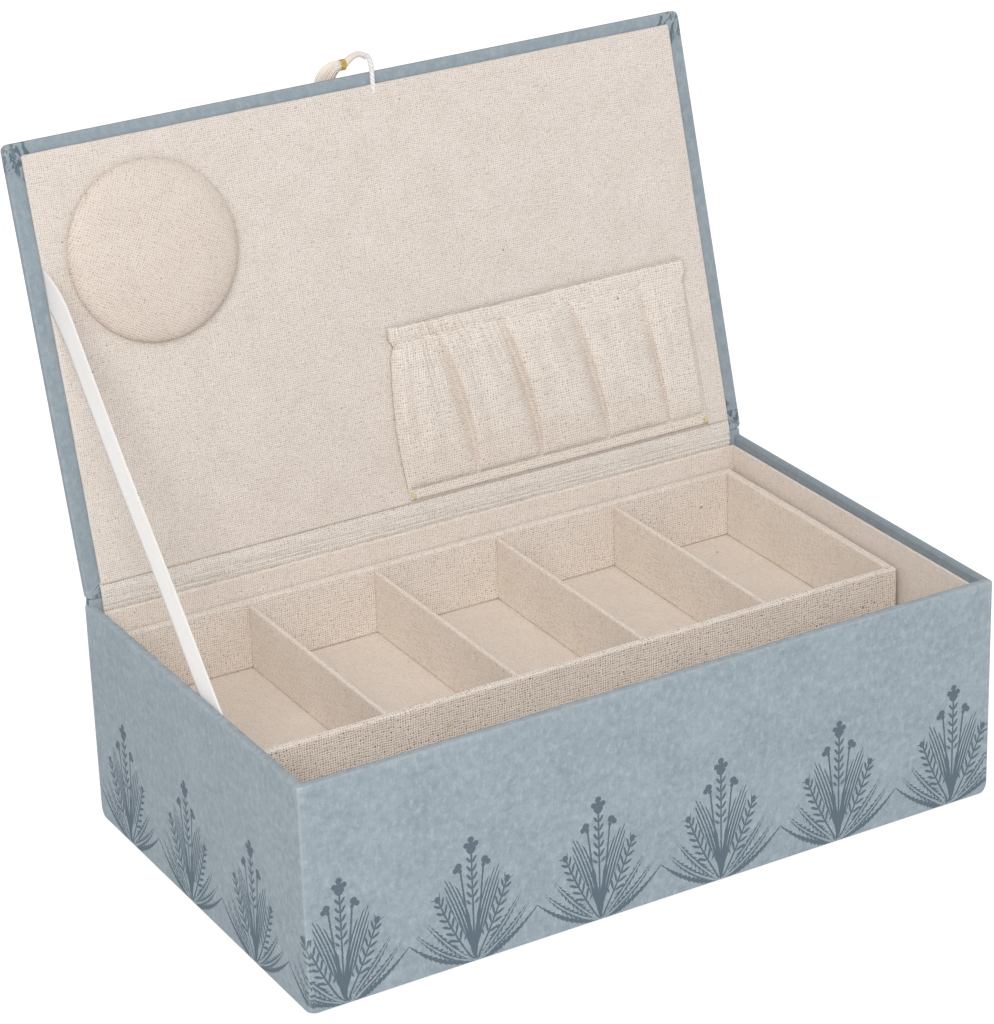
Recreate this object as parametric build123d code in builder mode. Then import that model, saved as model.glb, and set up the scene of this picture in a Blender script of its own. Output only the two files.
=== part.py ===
"""Sewing box of paper-covered board, lined with linen, its lid open against a ribbon stay.

Millimetres. The origin is the centre of the base's underside, +X along the length,
+Y to the hinge, +Z up. The lid is drawn in its own plane: x along the box, s from the
hinge edge to the free edge, and o inwards from the lid's inner face.
"""

import os
from math import atan2, cos, degrees, hypot, pi, radians, sin

from build123d import *

os.makedirs("parts", exist_ok=True)

# Box
box_length = 300.0
box_depth = 176.0
box_height = 92.0
wall_board = 3.2
cover_paper = 0.3
lining_card = 1.2
corner_radius = 1.1
rim_turn_in = 12.0
bottom_turn_in = 12.0
underside_inset = 4.0
lining_drop = 3.5

# Lid and its hinge
lid_board = 2.8
lid_lining = 1.5
lid_turn_in = 12.0
lid_gap = 0.5
lid_open_angle = 105.2
hinge_inset = 1.0
hinge_rise = 2.7
lid_lining_side_margin = 6.3
lid_lining_hinge_margin = 5.0
lid_lining_free_margin = 4.8
hinge_cloth = 0.4
hinge_cloth_side_gap = 1.0
hinge_paper_reach = 14.0
hinge_paper_side_gap = 1.0

# Tray and the ledges that carry it
tray_depth = 119.0
tray_height = 32.0
tray_drop = 12.5
tray_end_gap = 2.5
tray_back_gap = 0.8
tray_wall = 3.5
tray_floor_thickness = 3.0
divider_thickness = 2.0
divider_drop = 1.8
divider_count = 4
ledge_width = 6.0
slide_clearance = 0.3

# Ribbon stay
ribbon_width = 13.8
ribbon_thickness = 0.3
ribbon_rim_y = -16.2
ribbon_aim_s = 139.0
ribbon_root_s = 116.8
ribbon_root_width = 13.5
ribbon_front_turn = 24.0
ribbon_back_turn = 35.4

# Pincushion
pincushion_radius = 35.1
pincushion_from_side = 51.3
pincushion_s = 126.3
pincushion_card = 1.0
pincushion_height = 8.2
pincushion_shoulder = 5.0
pincushion_draw_in = 1.0

# Pocket
pocket_cloth_thickness = 0.8
pocket_bottom_s = 6.0
pocket_hem = 3.0
pocket_casing_s = 67.5
pocket_casing = 8.0
# The pocket's edges and folds are measured from the lid's right side
pocket_left_top = 155.8
pocket_left_belly = 160.0
pocket_left_bottom = 159.1
pocket_right_top = 19.5
pocket_right_bottom = 17.0
pocket_seam = 3.0
pocket_edge = 1.2
pocket_mouth = 0.9
pocket_casing_depth = 2.2
fold_feet = [123.8, 93.0, 62.8, 33.2]
fold_leans = [0.155, 0.215, 0.11, 0.09]
# Share of the height from the hem to the casing, with the puffs' and the folds' own heights there
pocket_swell = [(0.0, 1.9, 1.2), (0.15, 4.0, 1.3), (0.53, 4.8, 1.6), (0.8, 3.8, 1.8), (1.0, 2.6, 1.9)]
elastic_width = 5.0
elastic_thickness = 0.6
elastic_play = 0.1
gather_count = 30
gather_radius = 0.55
tack_length = 3.0
tack_width = 0.6

# Pull: cord and tassel
pull_x = 6.0
cord_radius = 1.15
cord_air = 0.1
tassel_rise = 4.4
tassel_air = 0.4
tassel_inset = 2.0
tassel_head_length = 5.4
tassel_head_radius = 1.9
tassel_head_round = 0.6
tassel_band_length = 1.8
tassel_band_radius = 2.2
skirt_neck_radius = 1.9
skirt_bend = 7.0
skirt_length = 38.0
skirt_half_width = 5.2
skirt_half_depth = 4.6
skirt_bend_steps = 6
skirt_straight_shares = [0.3, 0.7, 1.0]

# The box, worked out
half_length = box_length / 2
half_depth = box_depth / 2
wall = wall_board + 2 * cover_paper
rim_x = half_length - wall
rim_y = half_depth - wall
floor_z = 2 * cover_paper + wall_board
lining_floor_z = floor_z + lining_card
lining_x = rim_x - lining_card
lining_y = rim_y - lining_card
lining_top = box_height - lining_drop

# The hinge, worked out: the closed lid turned back about its axis gives the open one
hinge_y = half_depth - hinge_inset
hinge_z = box_height + lid_gap + hinge_rise
open_turn = radians(lid_open_angle)
lid_thickness = lid_board + 2 * cover_paper


def opened(y, z):
    """Turn a point of the closed lid back about the hinge axis to the open lid."""
    dy, dz = y - hinge_y, z - hinge_z
    return (
        hinge_y + dy * cos(open_turn) + dz * sin(open_turn),
        hinge_z - dy * sin(open_turn) + dz * cos(open_turn),
    )


edge_y, edge_z = opened(half_depth, box_height + lid_gap)
rise_y, rise_z = -cos(open_turn), sin(open_turn)
lid_face = Plane(origin=(0, edge_y, edge_z), x_dir=(1, 0, 0), z_dir=(0, -rise_z, rise_y))


def lid_yz(s, o=0.0):
    """Give the y and z of a point s up the open lid and o inwards from its inner face."""
    return edge_y + s * rise_y - o * rise_z, edge_z + s * rise_z + o * rise_y


def lid_xyz(x, s, o=0.0):
    """Give a point of the open lid in the box's own axes."""
    return (x, *lid_yz(s, o))


def save(piece, label):
    """Name a finished piece and write its file."""
    piece.part.label = label
    export_step(piece.part, f"parts/{label}.step")


def slab(label, x_range, y_range, z_range):
    """Make a flat card or board between two corners."""
    size_x, size_y = x_range[1] - x_range[0], y_range[1] - y_range[0]
    with BuildPart() as piece:
        with BuildSketch(Plane.XY.offset(z_range[0])):
            with Locations((sum(x_range) / 2, sum(y_range) / 2)):
                Rectangle(size_x, size_y)
        extrude(amount=z_range[1] - z_range[0])
    save(piece, label)


def side_to_side(side, near, far):
    """Order a range that lies on the left (-1) or the right (+1)."""
    return tuple(sorted((side * near, side * far)))


# Base: boards
def board_outline():
    """Draw the boards' common outline, just inside the cover paper."""
    RectangleRounded(
        box_length - 2 * cover_paper, box_depth - 2 * cover_paper, corner_radius - cover_paper
    )


with BuildPart() as bottom_board:
    with BuildSketch(Plane.XY.offset(2 * cover_paper)):
        board_outline()
    extrude(amount=wall_board)
save(bottom_board, "base_bottom_board")

wall_height = box_height - cover_paper - floor_z
board_middle_y = half_depth - cover_paper - wall_board / 2
board_middle_x = half_length - cover_paper - wall_board / 2

for label, side in (("base_front_board", -1), ("base_back_board", 1)):
    with BuildPart() as long_board:
        with BuildSketch(Plane.XY.offset(floor_z)):
            board_outline()
            with Locations((0, side * board_middle_y)):
                Rectangle(box_length, wall_board, mode=Mode.INTERSECT)
        extrude(amount=wall_height)
    save(long_board, label)

for label, side in (("base_left_board", -1), ("base_right_board", 1)):
    slab(
        label,
        side_to_side(side, board_middle_x - wall_board / 2, board_middle_x + wall_board / 2),
        (-board_middle_y + wall_board / 2, board_middle_y - wall_board / 2),
        (floor_z, floor_z + wall_height),
    )

# Base: cover paper, over the walls, down inside the rim and under the bottom
with BuildPart() as base_cover:
    with BuildSketch(Plane.XY.offset(cover_paper)):
        RectangleRounded(box_length, box_depth, corner_radius)
    extrude(amount=box_height - cover_paper)
    with BuildSketch(Plane.XY.offset(2 * cover_paper)):
        board_outline()
    extrude(amount=box_height - 3 * cover_paper, mode=Mode.SUBTRACT)
    with BuildSketch(Plane.XY.offset(box_height - cover_paper)):
        Rectangle(2 * rim_x, 2 * rim_y)
    extrude(amount=cover_paper, mode=Mode.SUBTRACT)
    with BuildSketch(Plane.XY.offset(box_height - rim_turn_in)):
        Rectangle(2 * (rim_x + cover_paper), 2 * (rim_y + cover_paper))
        Rectangle(2 * rim_x, 2 * rim_y, mode=Mode.SUBTRACT)
    extrude(amount=rim_turn_in)
    with BuildSketch(Plane.XY.offset(cover_paper)):
        Rectangle(box_length - 2 * bottom_turn_in, box_depth - 2 * bottom_turn_in)
    extrude(amount=cover_paper, mode=Mode.SUBTRACT)
save(base_cover, "base_cover_paper")

slab(
    "base_underside_paper",
    (-half_length + underside_inset, half_length - underside_inset),
    (-half_depth + underside_inset, half_depth - underside_inset),
    (0.0, cover_paper),
)

# Base: lining cards
slab("base_lining_floor", (-rim_x, rim_x), (-rim_y, rim_y), (floor_z, lining_floor_z))
for label, side in (("base_lining_front", -1), ("base_lining_back", 1)):
    slab(
        label,
        (-rim_x, rim_x),
        side_to_side(side, lining_y, rim_y),
        (lining_floor_z, lining_top),
    )
for label, side in (("base_lining_left", -1), ("base_lining_right", 1)):
    slab(
        label,
        side_to_side(side, lining_x, rim_x),
        (-lining_y, lining_y),
        (lining_floor_z, lining_top),
    )

# Tray: five equal compartments, pushed back against the lining
tray_top = box_height - tray_drop
tray_bottom = tray_top - tray_height
tray_floor_top = tray_bottom + tray_floor_thickness
tray_x = lining_x - tray_end_gap
tray_back = lining_y - tray_back_gap
tray_front = tray_back - tray_depth
tray_inner_x = tray_x - tray_wall

for label, side in (("tray_ledge_left", -1), ("tray_ledge_right", 1)):
    slab(
        label,
        side_to_side(side, lining_x - ledge_width, lining_x),
        (-lining_y, lining_y),
        (lining_floor_z, tray_bottom - slide_clearance),
    )

slab("tray_floor", (-tray_x, tray_x), (tray_front, tray_back), (tray_bottom, tray_floor_top))
slab(
    "tray_front_wall",
    (-tray_x, tray_x),
    (tray_front, tray_front + tray_wall),
    (tray_floor_top, tray_top),
)
slab(
    "tray_back_wall",
    (-tray_x, tray_x),
    (tray_back - tray_wall, tray_back),
    (tray_floor_top, tray_top),
)
for label, side in (("tray_left_wall", -1), ("tray_right_wall", 1)):
    slab(
        label,
        side_to_side(side, tray_inner_x, tray_x),
        (tray_front + tray_wall, tray_back - tray_wall),
        (tray_floor_top, tray_top),
    )
compartment = (2 * tray_inner_x - divider_count * divider_thickness) / (divider_count + 1)
for number in range(1, divider_count + 1):
    left = -tray_inner_x + number * compartment + (number - 1) * divider_thickness
    slab(
        f"tray_divider_{number}",
        (left, left + divider_thickness),
        (tray_front + tray_wall, tray_back - tray_wall),
        (tray_floor_top, tray_top - divider_drop),
    )


# Lid: board, cover paper and lining card, all in the plane of the lid
def lid_outline(inset=0.0):
    """Draw the lid's outline, drawn in by an inset."""
    with Locations((0, half_depth)):
        RectangleRounded(box_length - 2 * inset, box_depth - 2 * inset, corner_radius - inset)


with BuildPart() as lid_panel:
    with BuildSketch(lid_face.offset(-cover_paper - lid_board)):
        lid_outline(cover_paper)
    extrude(amount=lid_board)
save(lid_panel, "lid_board")

with BuildPart() as lid_cover:
    with BuildSketch(lid_face.offset(-lid_thickness)):
        lid_outline()
    extrude(amount=lid_thickness)
    with BuildSketch(lid_face.offset(-cover_paper - lid_board)):
        lid_outline(cover_paper)
    extrude(amount=lid_board, mode=Mode.SUBTRACT)
    with BuildSketch(lid_face.offset(-cover_paper)):
        with Locations((0, half_depth)):
            Rectangle(box_length - 2 * lid_turn_in, box_depth - 2 * lid_turn_in)
    extrude(amount=cover_paper, mode=Mode.SUBTRACT)
save(lid_cover, "lid_cover_paper")

lid_lining_top = box_depth - lid_lining_free_margin
with BuildPart() as lid_lining_panel:
    with BuildSketch(lid_face):
        with Locations((0, (lid_lining_hinge_margin + lid_lining_top) / 2)):
            Rectangle(
                box_length - 2 * lid_lining_side_margin,
                lid_lining_top - lid_lining_hinge_margin,
            )
    extrude(amount=lid_lining)
save(lid_lining_panel, "lid_lining")

# Hinge: linen inside from the lining's top edge to the lid's lining, paper outside
cloth_half_length = lining_x - hinge_cloth_side_gap
with BuildPart() as hinge_linen:
    with BuildSketch(Plane.YZ.offset(-cloth_half_length)):
        with BuildLine():
            Polyline(
                (rim_y - hinge_cloth, lining_top),
                (rim_y - hinge_cloth, box_height),
                lid_yz(0, hinge_cloth),
                lid_yz(lid_lining_hinge_margin, hinge_cloth),
                lid_yz(lid_lining_hinge_margin, 0),
                lid_yz(0, 0),
                (rim_y, box_height),
                (rim_y, lining_top),
                close=True,
            )
        make_face()
    extrude(amount=2 * cloth_half_length)
save(hinge_linen, "hinge_linen_strip")

paper_half_length = half_length - hinge_paper_side_gap
with BuildPart() as hinge_paper:
    with BuildSketch(Plane.YZ.offset(-paper_half_length)):
        with BuildLine():
            Polyline(
                (half_depth, box_height - hinge_paper_reach),
                (half_depth, box_height + cover_paper / 2),
                lid_yz(0, -lid_thickness),
                lid_yz(hinge_paper_reach, -lid_thickness),
                lid_yz(hinge_paper_reach, -lid_thickness - cover_paper),
                lid_yz(0, -lid_thickness - cover_paper),
                (half_depth + cover_paper, box_height + cover_paper / 2),
                (half_depth + cover_paper, box_height - hinge_paper_reach),
                close=True,
            )
        make_face()
    extrude(amount=2 * paper_half_length)
save(hinge_paper, "hinge_outer_paper")

# Ribbon stay: flat in a nearly upright plane from the left wall's rim. It rises straight to an
# aim on the lid and turns level shortly before it, to run in behind the lid's lining
ribbon_foot_x = -rim_x + ribbon_thickness / 2
ribbon_top_x = -half_length + lid_lining_side_margin - ribbon_thickness
ribbon_top_z = lid_yz(ribbon_root_s + ribbon_root_width / 2)[1]
ribbon_tilt = atan2(ribbon_top_x - ribbon_foot_x, ribbon_top_z - lining_top)
ribbon_aim_y, ribbon_aim_z = lid_yz(ribbon_aim_s)
ribbon_run_y = ribbon_aim_y - ribbon_rim_y
ribbon_run_z = ribbon_aim_z - lining_top
ribbon_run = hypot(ribbon_run_y, ribbon_run_z)
along_y, along_z = ribbon_run_y / ribbon_run, ribbon_run_z / ribbon_run
ribbon_plane = Plane(
    origin=(ribbon_foot_x, 0, lining_top),
    x_dir=(0, 1, 0),
    z_dir=(cos(ribbon_tilt), 0, -sin(ribbon_tilt)),
)


def ribbon_point(side, before_aim):
    """Give a point of the ribbon's front (-1) or back (+1) edge, short of its aim by a length."""
    reach = ribbon_run - before_aim
    return (
        ribbon_rim_y + reach * along_y + side * ribbon_width / 2 * along_z,
        reach * along_z - side * ribbon_width / 2 * along_y,
    )


def ribbon_foot(side):
    """Give the end of the ribbon's edge on top of the left lining card."""
    return ribbon_rim_y + side * ribbon_width / 2 / along_z, 0.0


def ribbon_root(side):
    """Give the end of the ribbon's edge on the lid, where it comes from under the lining."""
    y, z = lid_yz(ribbon_root_s - side * ribbon_root_width / 2, lid_lining / 2)
    return y, z - lining_top


with BuildPart() as ribbon:
    with BuildSketch(ribbon_plane.offset(-ribbon_thickness / 2)):
        with BuildLine():
            Polyline(
                ribbon_foot(-1),
                ribbon_point(-1, ribbon_front_turn),
                ribbon_root(-1),
                ribbon_root(1),
                ribbon_point(1, ribbon_back_turn),
                ribbon_foot(1),
                close=True,
            )
        make_face()
    extrude(amount=ribbon_thickness)
save(ribbon, "ribbon_stay")

# Pincushion: a card disc with a padded crown, drawn in where it meets the card
pincushion_x = pincushion_from_side - half_length
lining_face = lid_face.offset(lid_lining)
with BuildPart() as cushion_card:
    with BuildSketch(lining_face):
        with Locations((pincushion_x, pincushion_s)):
            Circle(pincushion_radius - pincushion_draw_in)
    extrude(amount=pincushion_card)
save(cushion_card, "pincushion_card")

shoulder_radius = pincushion_radius - 2 * pincushion_draw_in
crown_rise = pincushion_height - pincushion_shoulder
crown_radius = (shoulder_radius**2 + crown_rise**2) / (2 * crown_rise)
crown_drop = crown_radius - (crown_radius**2 - shoulder_radius**2 / 4) ** 0.5
pad_plane = Plane(
    origin=lid_xyz(pincushion_x, pincushion_s, lid_lining),
    x_dir=(1, 0, 0),
    z_dir=(0, -rise_y, -rise_z),
)
with BuildPart() as cushion_pad:
    with BuildSketch(pad_plane):
        with BuildLine():
            Polyline(
                (0, pincushion_height),
                (0, pincushion_card),
                (pincushion_radius - pincushion_draw_in, pincushion_card),
            )
            ThreePointArc(
                (pincushion_radius - pincushion_draw_in, pincushion_card),
                (pincushion_radius, (pincushion_card + pincushion_shoulder) / 2),
                (shoulder_radius, pincushion_shoulder),
            )
            ThreePointArc(
                (shoulder_radius, pincushion_shoulder),
                (shoulder_radius / 2, pincushion_height - crown_drop),
                (0, pincushion_height),
            )
        make_face()
    revolve(axis=Axis(pad_plane.origin, pad_plane.y_dir))
save(cushion_pad, "pincushion_pad")


# Pocket: linen gathered on elastic, its four folds running down to pleats in the bottom hem
def pocket_ends(s):
    """Give the x of the pocket's left and right edges at a height s on the lid."""
    belly_s = (pocket_bottom_s + pocket_casing_s) / 2
    up = (s - pocket_bottom_s) / (pocket_casing_s - pocket_bottom_s)
    swell = pocket_left_belly - (pocket_left_top + pocket_left_bottom) / 2
    bulge = 1 - ((s - belly_s) / (pocket_casing_s - belly_s)) ** 2
    left = pocket_left_bottom + up * (pocket_left_top - pocket_left_bottom) + swell * bulge
    right = pocket_right_bottom + up * (pocket_right_top - pocket_right_bottom)
    return half_length - left, half_length - right


def fold_x(s):
    """Give the x of each fold at a height s: every fold leans as it rises."""
    rise = s - pocket_bottom_s - pocket_hem
    return [half_length - foot - lean * rise for foot, lean in zip(fold_feet, fold_leans)]


def pocket_outline(s, puff, valley):
    """Give the outline of the cloth cut across at height s: puffs and folds over a hollow."""
    left, right = pocket_ends(s)
    valleys = fold_x(s)
    outer = [(left, pocket_edge)] + [(x, valley) for x in valleys] + [(right, pocket_edge)]
    depth = pocket_cloth_thickness
    inner = [(left + pocket_seam, 0)] + [(x, valley - depth) for x in valleys]
    inner.append((right - pocket_seam, 0))
    with BuildLine() as outline:
        for start, end in zip(outer, outer[1:]):
            ThreePointArc(start, ((start[0] + end[0]) / 2, puff), end)
        Polyline(outer[-1], (right, 0), inner[-1])
        for start, end in zip(inner, inner[1:]):
            ThreePointArc(start, ((start[0] + end[0]) / 2, puff - depth), end)
        Polyline(inner[0], (left, 0), outer[0])
    return outline.line


def pocket_plane(s):
    """Give the plane across the lid at height s, x along the box and y off the lining."""
    return Plane(
        origin=lid_xyz(0, s, lid_lining), x_dir=(1, 0, 0), z_dir=(0, -rise_y, -rise_z)
    )


hem_top_s = pocket_bottom_s + pocket_hem
cloth_rise = pocket_casing_s - hem_top_s
hem_left, hem_right = pocket_ends(pocket_bottom_s)
top_left, top_right = pocket_ends(pocket_casing_s)
casing_top = pocket_mouth + pocket_casing_depth
casing_middle_s = pocket_casing_s + pocket_casing / 2
tunnel_floor = pocket_mouth + (pocket_casing_depth - elastic_thickness) / 2
casing_pitch = (top_right - top_left) / gather_count

with BuildPart() as pocket:
    for share, puff, valley in pocket_swell:
        level = hem_top_s + share * cloth_rise
        with BuildSketch(pocket_plane(level)):
            add(pocket_outline(level, puff, valley))
            make_face()
    loft(ruled=True)
    with BuildSketch(lining_face):
        with Locations(((hem_left + hem_right) / 2, pocket_bottom_s + pocket_hem / 2)):
            Rectangle(hem_right - hem_left, pocket_hem)
    extrude(amount=pocket_edge)
    with BuildSketch(lining_face.offset(pocket_mouth)):
        with Locations(((top_left + top_right) / 2, casing_middle_s)):
            Rectangle(top_right - top_left, pocket_casing)
    extrude(amount=pocket_casing_depth)
    with BuildSketch(lining_face):
        for x in (top_left + pocket_seam / 2, top_right - pocket_seam / 2):
            with Locations((x, casing_middle_s)):
                Rectangle(pocket_seam, pocket_casing)
    extrude(amount=pocket_mouth)
    with BuildSketch(lining_face.offset(tunnel_floor - elastic_play)):
        with Locations(((top_left + top_right) / 2, casing_middle_s)):
            Rectangle(top_right - top_left, elastic_width + 2 * elastic_play)
    extrude(amount=elastic_thickness + 2 * elastic_play, mode=Mode.SUBTRACT)
    with BuildSketch(pocket_plane(pocket_casing_s + pocket_casing)):
        for number in range(1, gather_count):
            with Locations((top_left + number * casing_pitch, casing_top)):
                Circle(gather_radius)
    extrude(amount=pocket_casing, mode=Mode.SUBTRACT)
save(pocket, "pocket_cloth")

with BuildPart() as elastic:
    with BuildSketch(lining_face.offset(tunnel_floor)):
        with Locations(((top_left + top_right) / 2, casing_middle_s)):
            Rectangle(top_right - top_left, elastic_width)
    extrude(amount=elastic_thickness)
save(elastic, "pocket_elastic")

with BuildPart() as tacks:
    with BuildSketch(lining_face.offset(pocket_edge)):
        for x in (hem_left + pocket_seam / 2, hem_right - pocket_seam / 2):
            with Locations((x, pocket_bottom_s + pocket_hem / 2)):
                Rectangle(tack_width, tack_length, rotation=45)
    extrude(amount=tack_width)
    with BuildSketch(lining_face.offset(casing_top)):
        for x in (top_left + pocket_seam / 2, top_right - pocket_seam / 2):
            with Locations((x, casing_middle_s)):
                Rectangle(tack_length, tack_width)
    extrude(amount=tack_width)
save(tacks, "pocket_tacks")

# Pull: a cord from under the lid's lining over the free edge, with a tassel behind it
tassel_s = box_depth + tassel_rise
tassel_o = -lid_thickness - tassel_band_radius - tassel_air
head_x = pull_x - tassel_inset
cord_o = cord_radius + cord_air
cord_peak_s = tassel_s + cord_radius
cord_points = [
    lid_xyz(pull_x, lid_lining_top + cord_air, cord_o),
    lid_xyz(pull_x + cord_radius, cord_peak_s, cord_o),
    lid_xyz(pull_x + cord_radius / 2, tassel_s, tassel_o),
    lid_xyz(head_x, tassel_s, tassel_o),
]
with BuildPart() as cord:
    with BuildLine() as cord_route:
        FilletPolyline(*cord_points, radius=[2 * cord_radius, cord_radius])
    with BuildSketch(Plane(origin=cord_route.line @ 0, z_dir=cord_route.line % 0)):
        Circle(cord_radius)
    sweep()
save(cord, "pull_cord")

tassel_y, tassel_z = lid_yz(tassel_s, tassel_o)


def tassel_plane(x):
    """Give the upright plane across the tassel's head at x, facing left."""
    return Plane(origin=(x, tassel_y, tassel_z), x_dir=(0, 1, 0), z_dir=(-1, 0, 0))


with BuildPart() as tassel_head:
    with BuildSketch(tassel_plane(head_x)):
        Circle(tassel_head_radius)
    extrude(amount=tassel_head_length)
    fillet(tassel_head.edges().sort_by(Axis.X)[-1], radius=tassel_head_round)
save(tassel_head, "tassel_head")

band_x = head_x - tassel_head_length
with BuildPart() as tassel_band:
    with BuildSketch(tassel_plane(band_x)):
        Circle(tassel_band_radius)
    extrude(amount=tassel_band_length)
save(tassel_band, "tassel_band")

neck_x = band_x - tassel_band_length


def skirt_depth(drop):
    """Give the skirt's half depth where it has dropped this far: it fills out below the edge."""
    return min(skirt_half_depth, skirt_neck_radius + drop * sin(open_turn - pi / 2))


def skirt_width(share):
    """Give the skirt's half width at a share of the way round the bend."""
    return skirt_neck_radius + (skirt_half_width - skirt_neck_radius) * share


with BuildPart() as skirt:
    for step in range(skirt_bend_steps + 1):
        turn = pi / 2 * step / skirt_bend_steps
        drop = skirt_bend * (1 - cos(turn))
        across = neck_x - skirt_bend * sin(turn)
        section = Plane(
            origin=(across, tassel_y, tassel_z - drop),
            x_dir=(0, 1, 0),
            z_dir=(-cos(turn), 0, -sin(turn)),
        )
        with BuildSketch(section):
            Ellipse(skirt_depth(drop), skirt_width(step / skirt_bend_steps))
    for share in skirt_straight_shares:
        drop = skirt_bend + share * (skirt_length - skirt_bend)
        section = Plane(
            origin=(neck_x - skirt_bend, tassel_y, tassel_z - drop),
            x_dir=(0, 1, 0),
            z_dir=(0, 0, -1),
        )
        with BuildSketch(section):
            Ellipse(skirt_depth(drop), skirt_half_width)
    loft(ruled=True)
save(skirt, "tassel_skirt")

print(f"hinge axis y {hinge_y:.2f} z {hinge_z:.2f}, opened {lid_open_angle:.1f} degrees")
print(f"ribbon leans {degrees(atan2(along_z, along_y)):.1f} degrees")
print(f"tray slides {tray_front + lining_y - slide_clearance:.2f} forwards")
print(f"tassel axis y {tassel_y:.3f} z {tassel_z:.3f}")
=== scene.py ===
"""Paper-covered sewing box with a linen lining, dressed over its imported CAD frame.

Lengths are in millimetres up to the moment that a mesh is made, which turns them to metres.
Colours are written as six hexadecimal digits, red, green and blue.
"""

import logging
import math
from collections.abc import Callable, Sequence
from dataclasses import dataclass
from enum import Enum
from functools import reduce

import bmesh
import bpy
import numpy as np
from mathutils import Matrix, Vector
from numpy.typing import ArrayLike, NDArray


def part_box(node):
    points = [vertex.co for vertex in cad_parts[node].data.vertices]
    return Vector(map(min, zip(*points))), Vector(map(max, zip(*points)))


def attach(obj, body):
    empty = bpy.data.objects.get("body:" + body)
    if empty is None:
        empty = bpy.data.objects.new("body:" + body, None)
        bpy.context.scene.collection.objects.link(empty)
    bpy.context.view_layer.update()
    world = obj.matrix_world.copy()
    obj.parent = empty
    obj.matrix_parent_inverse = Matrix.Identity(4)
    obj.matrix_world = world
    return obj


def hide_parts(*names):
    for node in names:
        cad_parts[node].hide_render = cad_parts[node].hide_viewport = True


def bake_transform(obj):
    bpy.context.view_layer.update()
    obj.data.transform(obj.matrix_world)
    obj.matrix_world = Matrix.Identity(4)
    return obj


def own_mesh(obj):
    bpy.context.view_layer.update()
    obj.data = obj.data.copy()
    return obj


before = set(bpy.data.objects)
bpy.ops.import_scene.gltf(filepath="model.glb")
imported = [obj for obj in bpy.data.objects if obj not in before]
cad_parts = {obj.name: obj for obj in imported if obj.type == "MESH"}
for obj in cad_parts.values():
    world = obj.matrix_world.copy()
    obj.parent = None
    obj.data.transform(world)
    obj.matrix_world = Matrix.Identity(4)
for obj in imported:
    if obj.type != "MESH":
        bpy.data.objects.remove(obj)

Array = NDArray[np.float64]
Colour = str
Object, Material, Socket = bpy.types.Object, bpy.types.Material, bpy.types.NodeSocket
Fill = Colour | Socket
Point = tuple[float, float, float]

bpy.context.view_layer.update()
MM = 0.001
# Metres: points this near become one, and an edge this short goes.
MERGE, SLIVER = 2e-6, 1e-7
FLAT_MAP = "Flat"
WEAR = "wear"
log = logging.getLogger("sewing_box")


def paint(code: Colour) -> tuple[float, ...]:
    """Turn a written colour into the linear red, green, blue and alpha that the shaders use."""
    shares = [int(code[place:place + 2], 16) / 255 for place in (0, 2, 4)]
    return (*(share / 12.92 if share <= 0.04045 else ((share + 0.055) / 1.055) ** 2.4 for share in shares), 1.0)


# Shader maths


def operator(operation: str, turned: bool = False) -> Callable[..., "Value"]:
    """Make a method of Value that adds one Math node.

    Args:
        operation: the Math node's operation.
        turned: whether the Value itself comes last.
    Returns:
        The method.
    """
    def add(first: "Value", *others: "Value | float") -> "Value":
        """Add the node and give its result."""
        terms = (*others, first) if turned else (first, *others)
        node = first.graph.node("ShaderNodeMath", {"operation": operation}, dict(enumerate(terms)))
        return Value(first.graph, node.outputs[0])

    return add


class Value:
    """A number that varies over a surface; Python's operators on it add the Math nodes.

    Sine, root, floor and fraction work on it alone. Larger and smaller pick between it and
    another Value or number.
    """

    __add__ = __radd__ = operator("ADD")
    __sub__, __rsub__ = operator("SUBTRACT"), operator("SUBTRACT", turned=True)
    __mul__ = __rmul__ = operator("MULTIPLY")
    __truediv__, __pow__, __abs__ = operator("DIVIDE"), operator("POWER"), operator("ABSOLUTE")
    sine, root, floor, fraction = operator("SINE"), operator("SQRT"), operator("FLOOR"), operator("FRACT")
    larger, smaller = operator("MAXIMUM"), operator("MINIMUM")

    def __init__(self, graph: "Graph", socket: Socket) -> None:
        """Wrap an output socket of a graph."""
        self.graph = graph
        self.socket = socket

    def __neg__(self) -> "Value":
        """Change the sign."""
        return self * -1.0

    def held(self) -> "Value":
        """Hold between 0 and 1."""
        return self.larger(0.0).smaller(1.0)

    def step(self, low: float, high: float) -> "Value":
        """Rise smoothly from 0 at one value to 1 at another.

        Args:
            low: where the result is 0.
            high: where the result is 1; it may lie below low.
        Returns:
            The smooth step.
        """
        node = self.graph.node(
            "ShaderNodeMapRange",
            {"interpolation_type": "SMOOTHSTEP"},
            {0: self, 1: low, 2: high, 3: 0.0, 4: 1.0},
        )
        return Value(self.graph, node.outputs[0])


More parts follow.
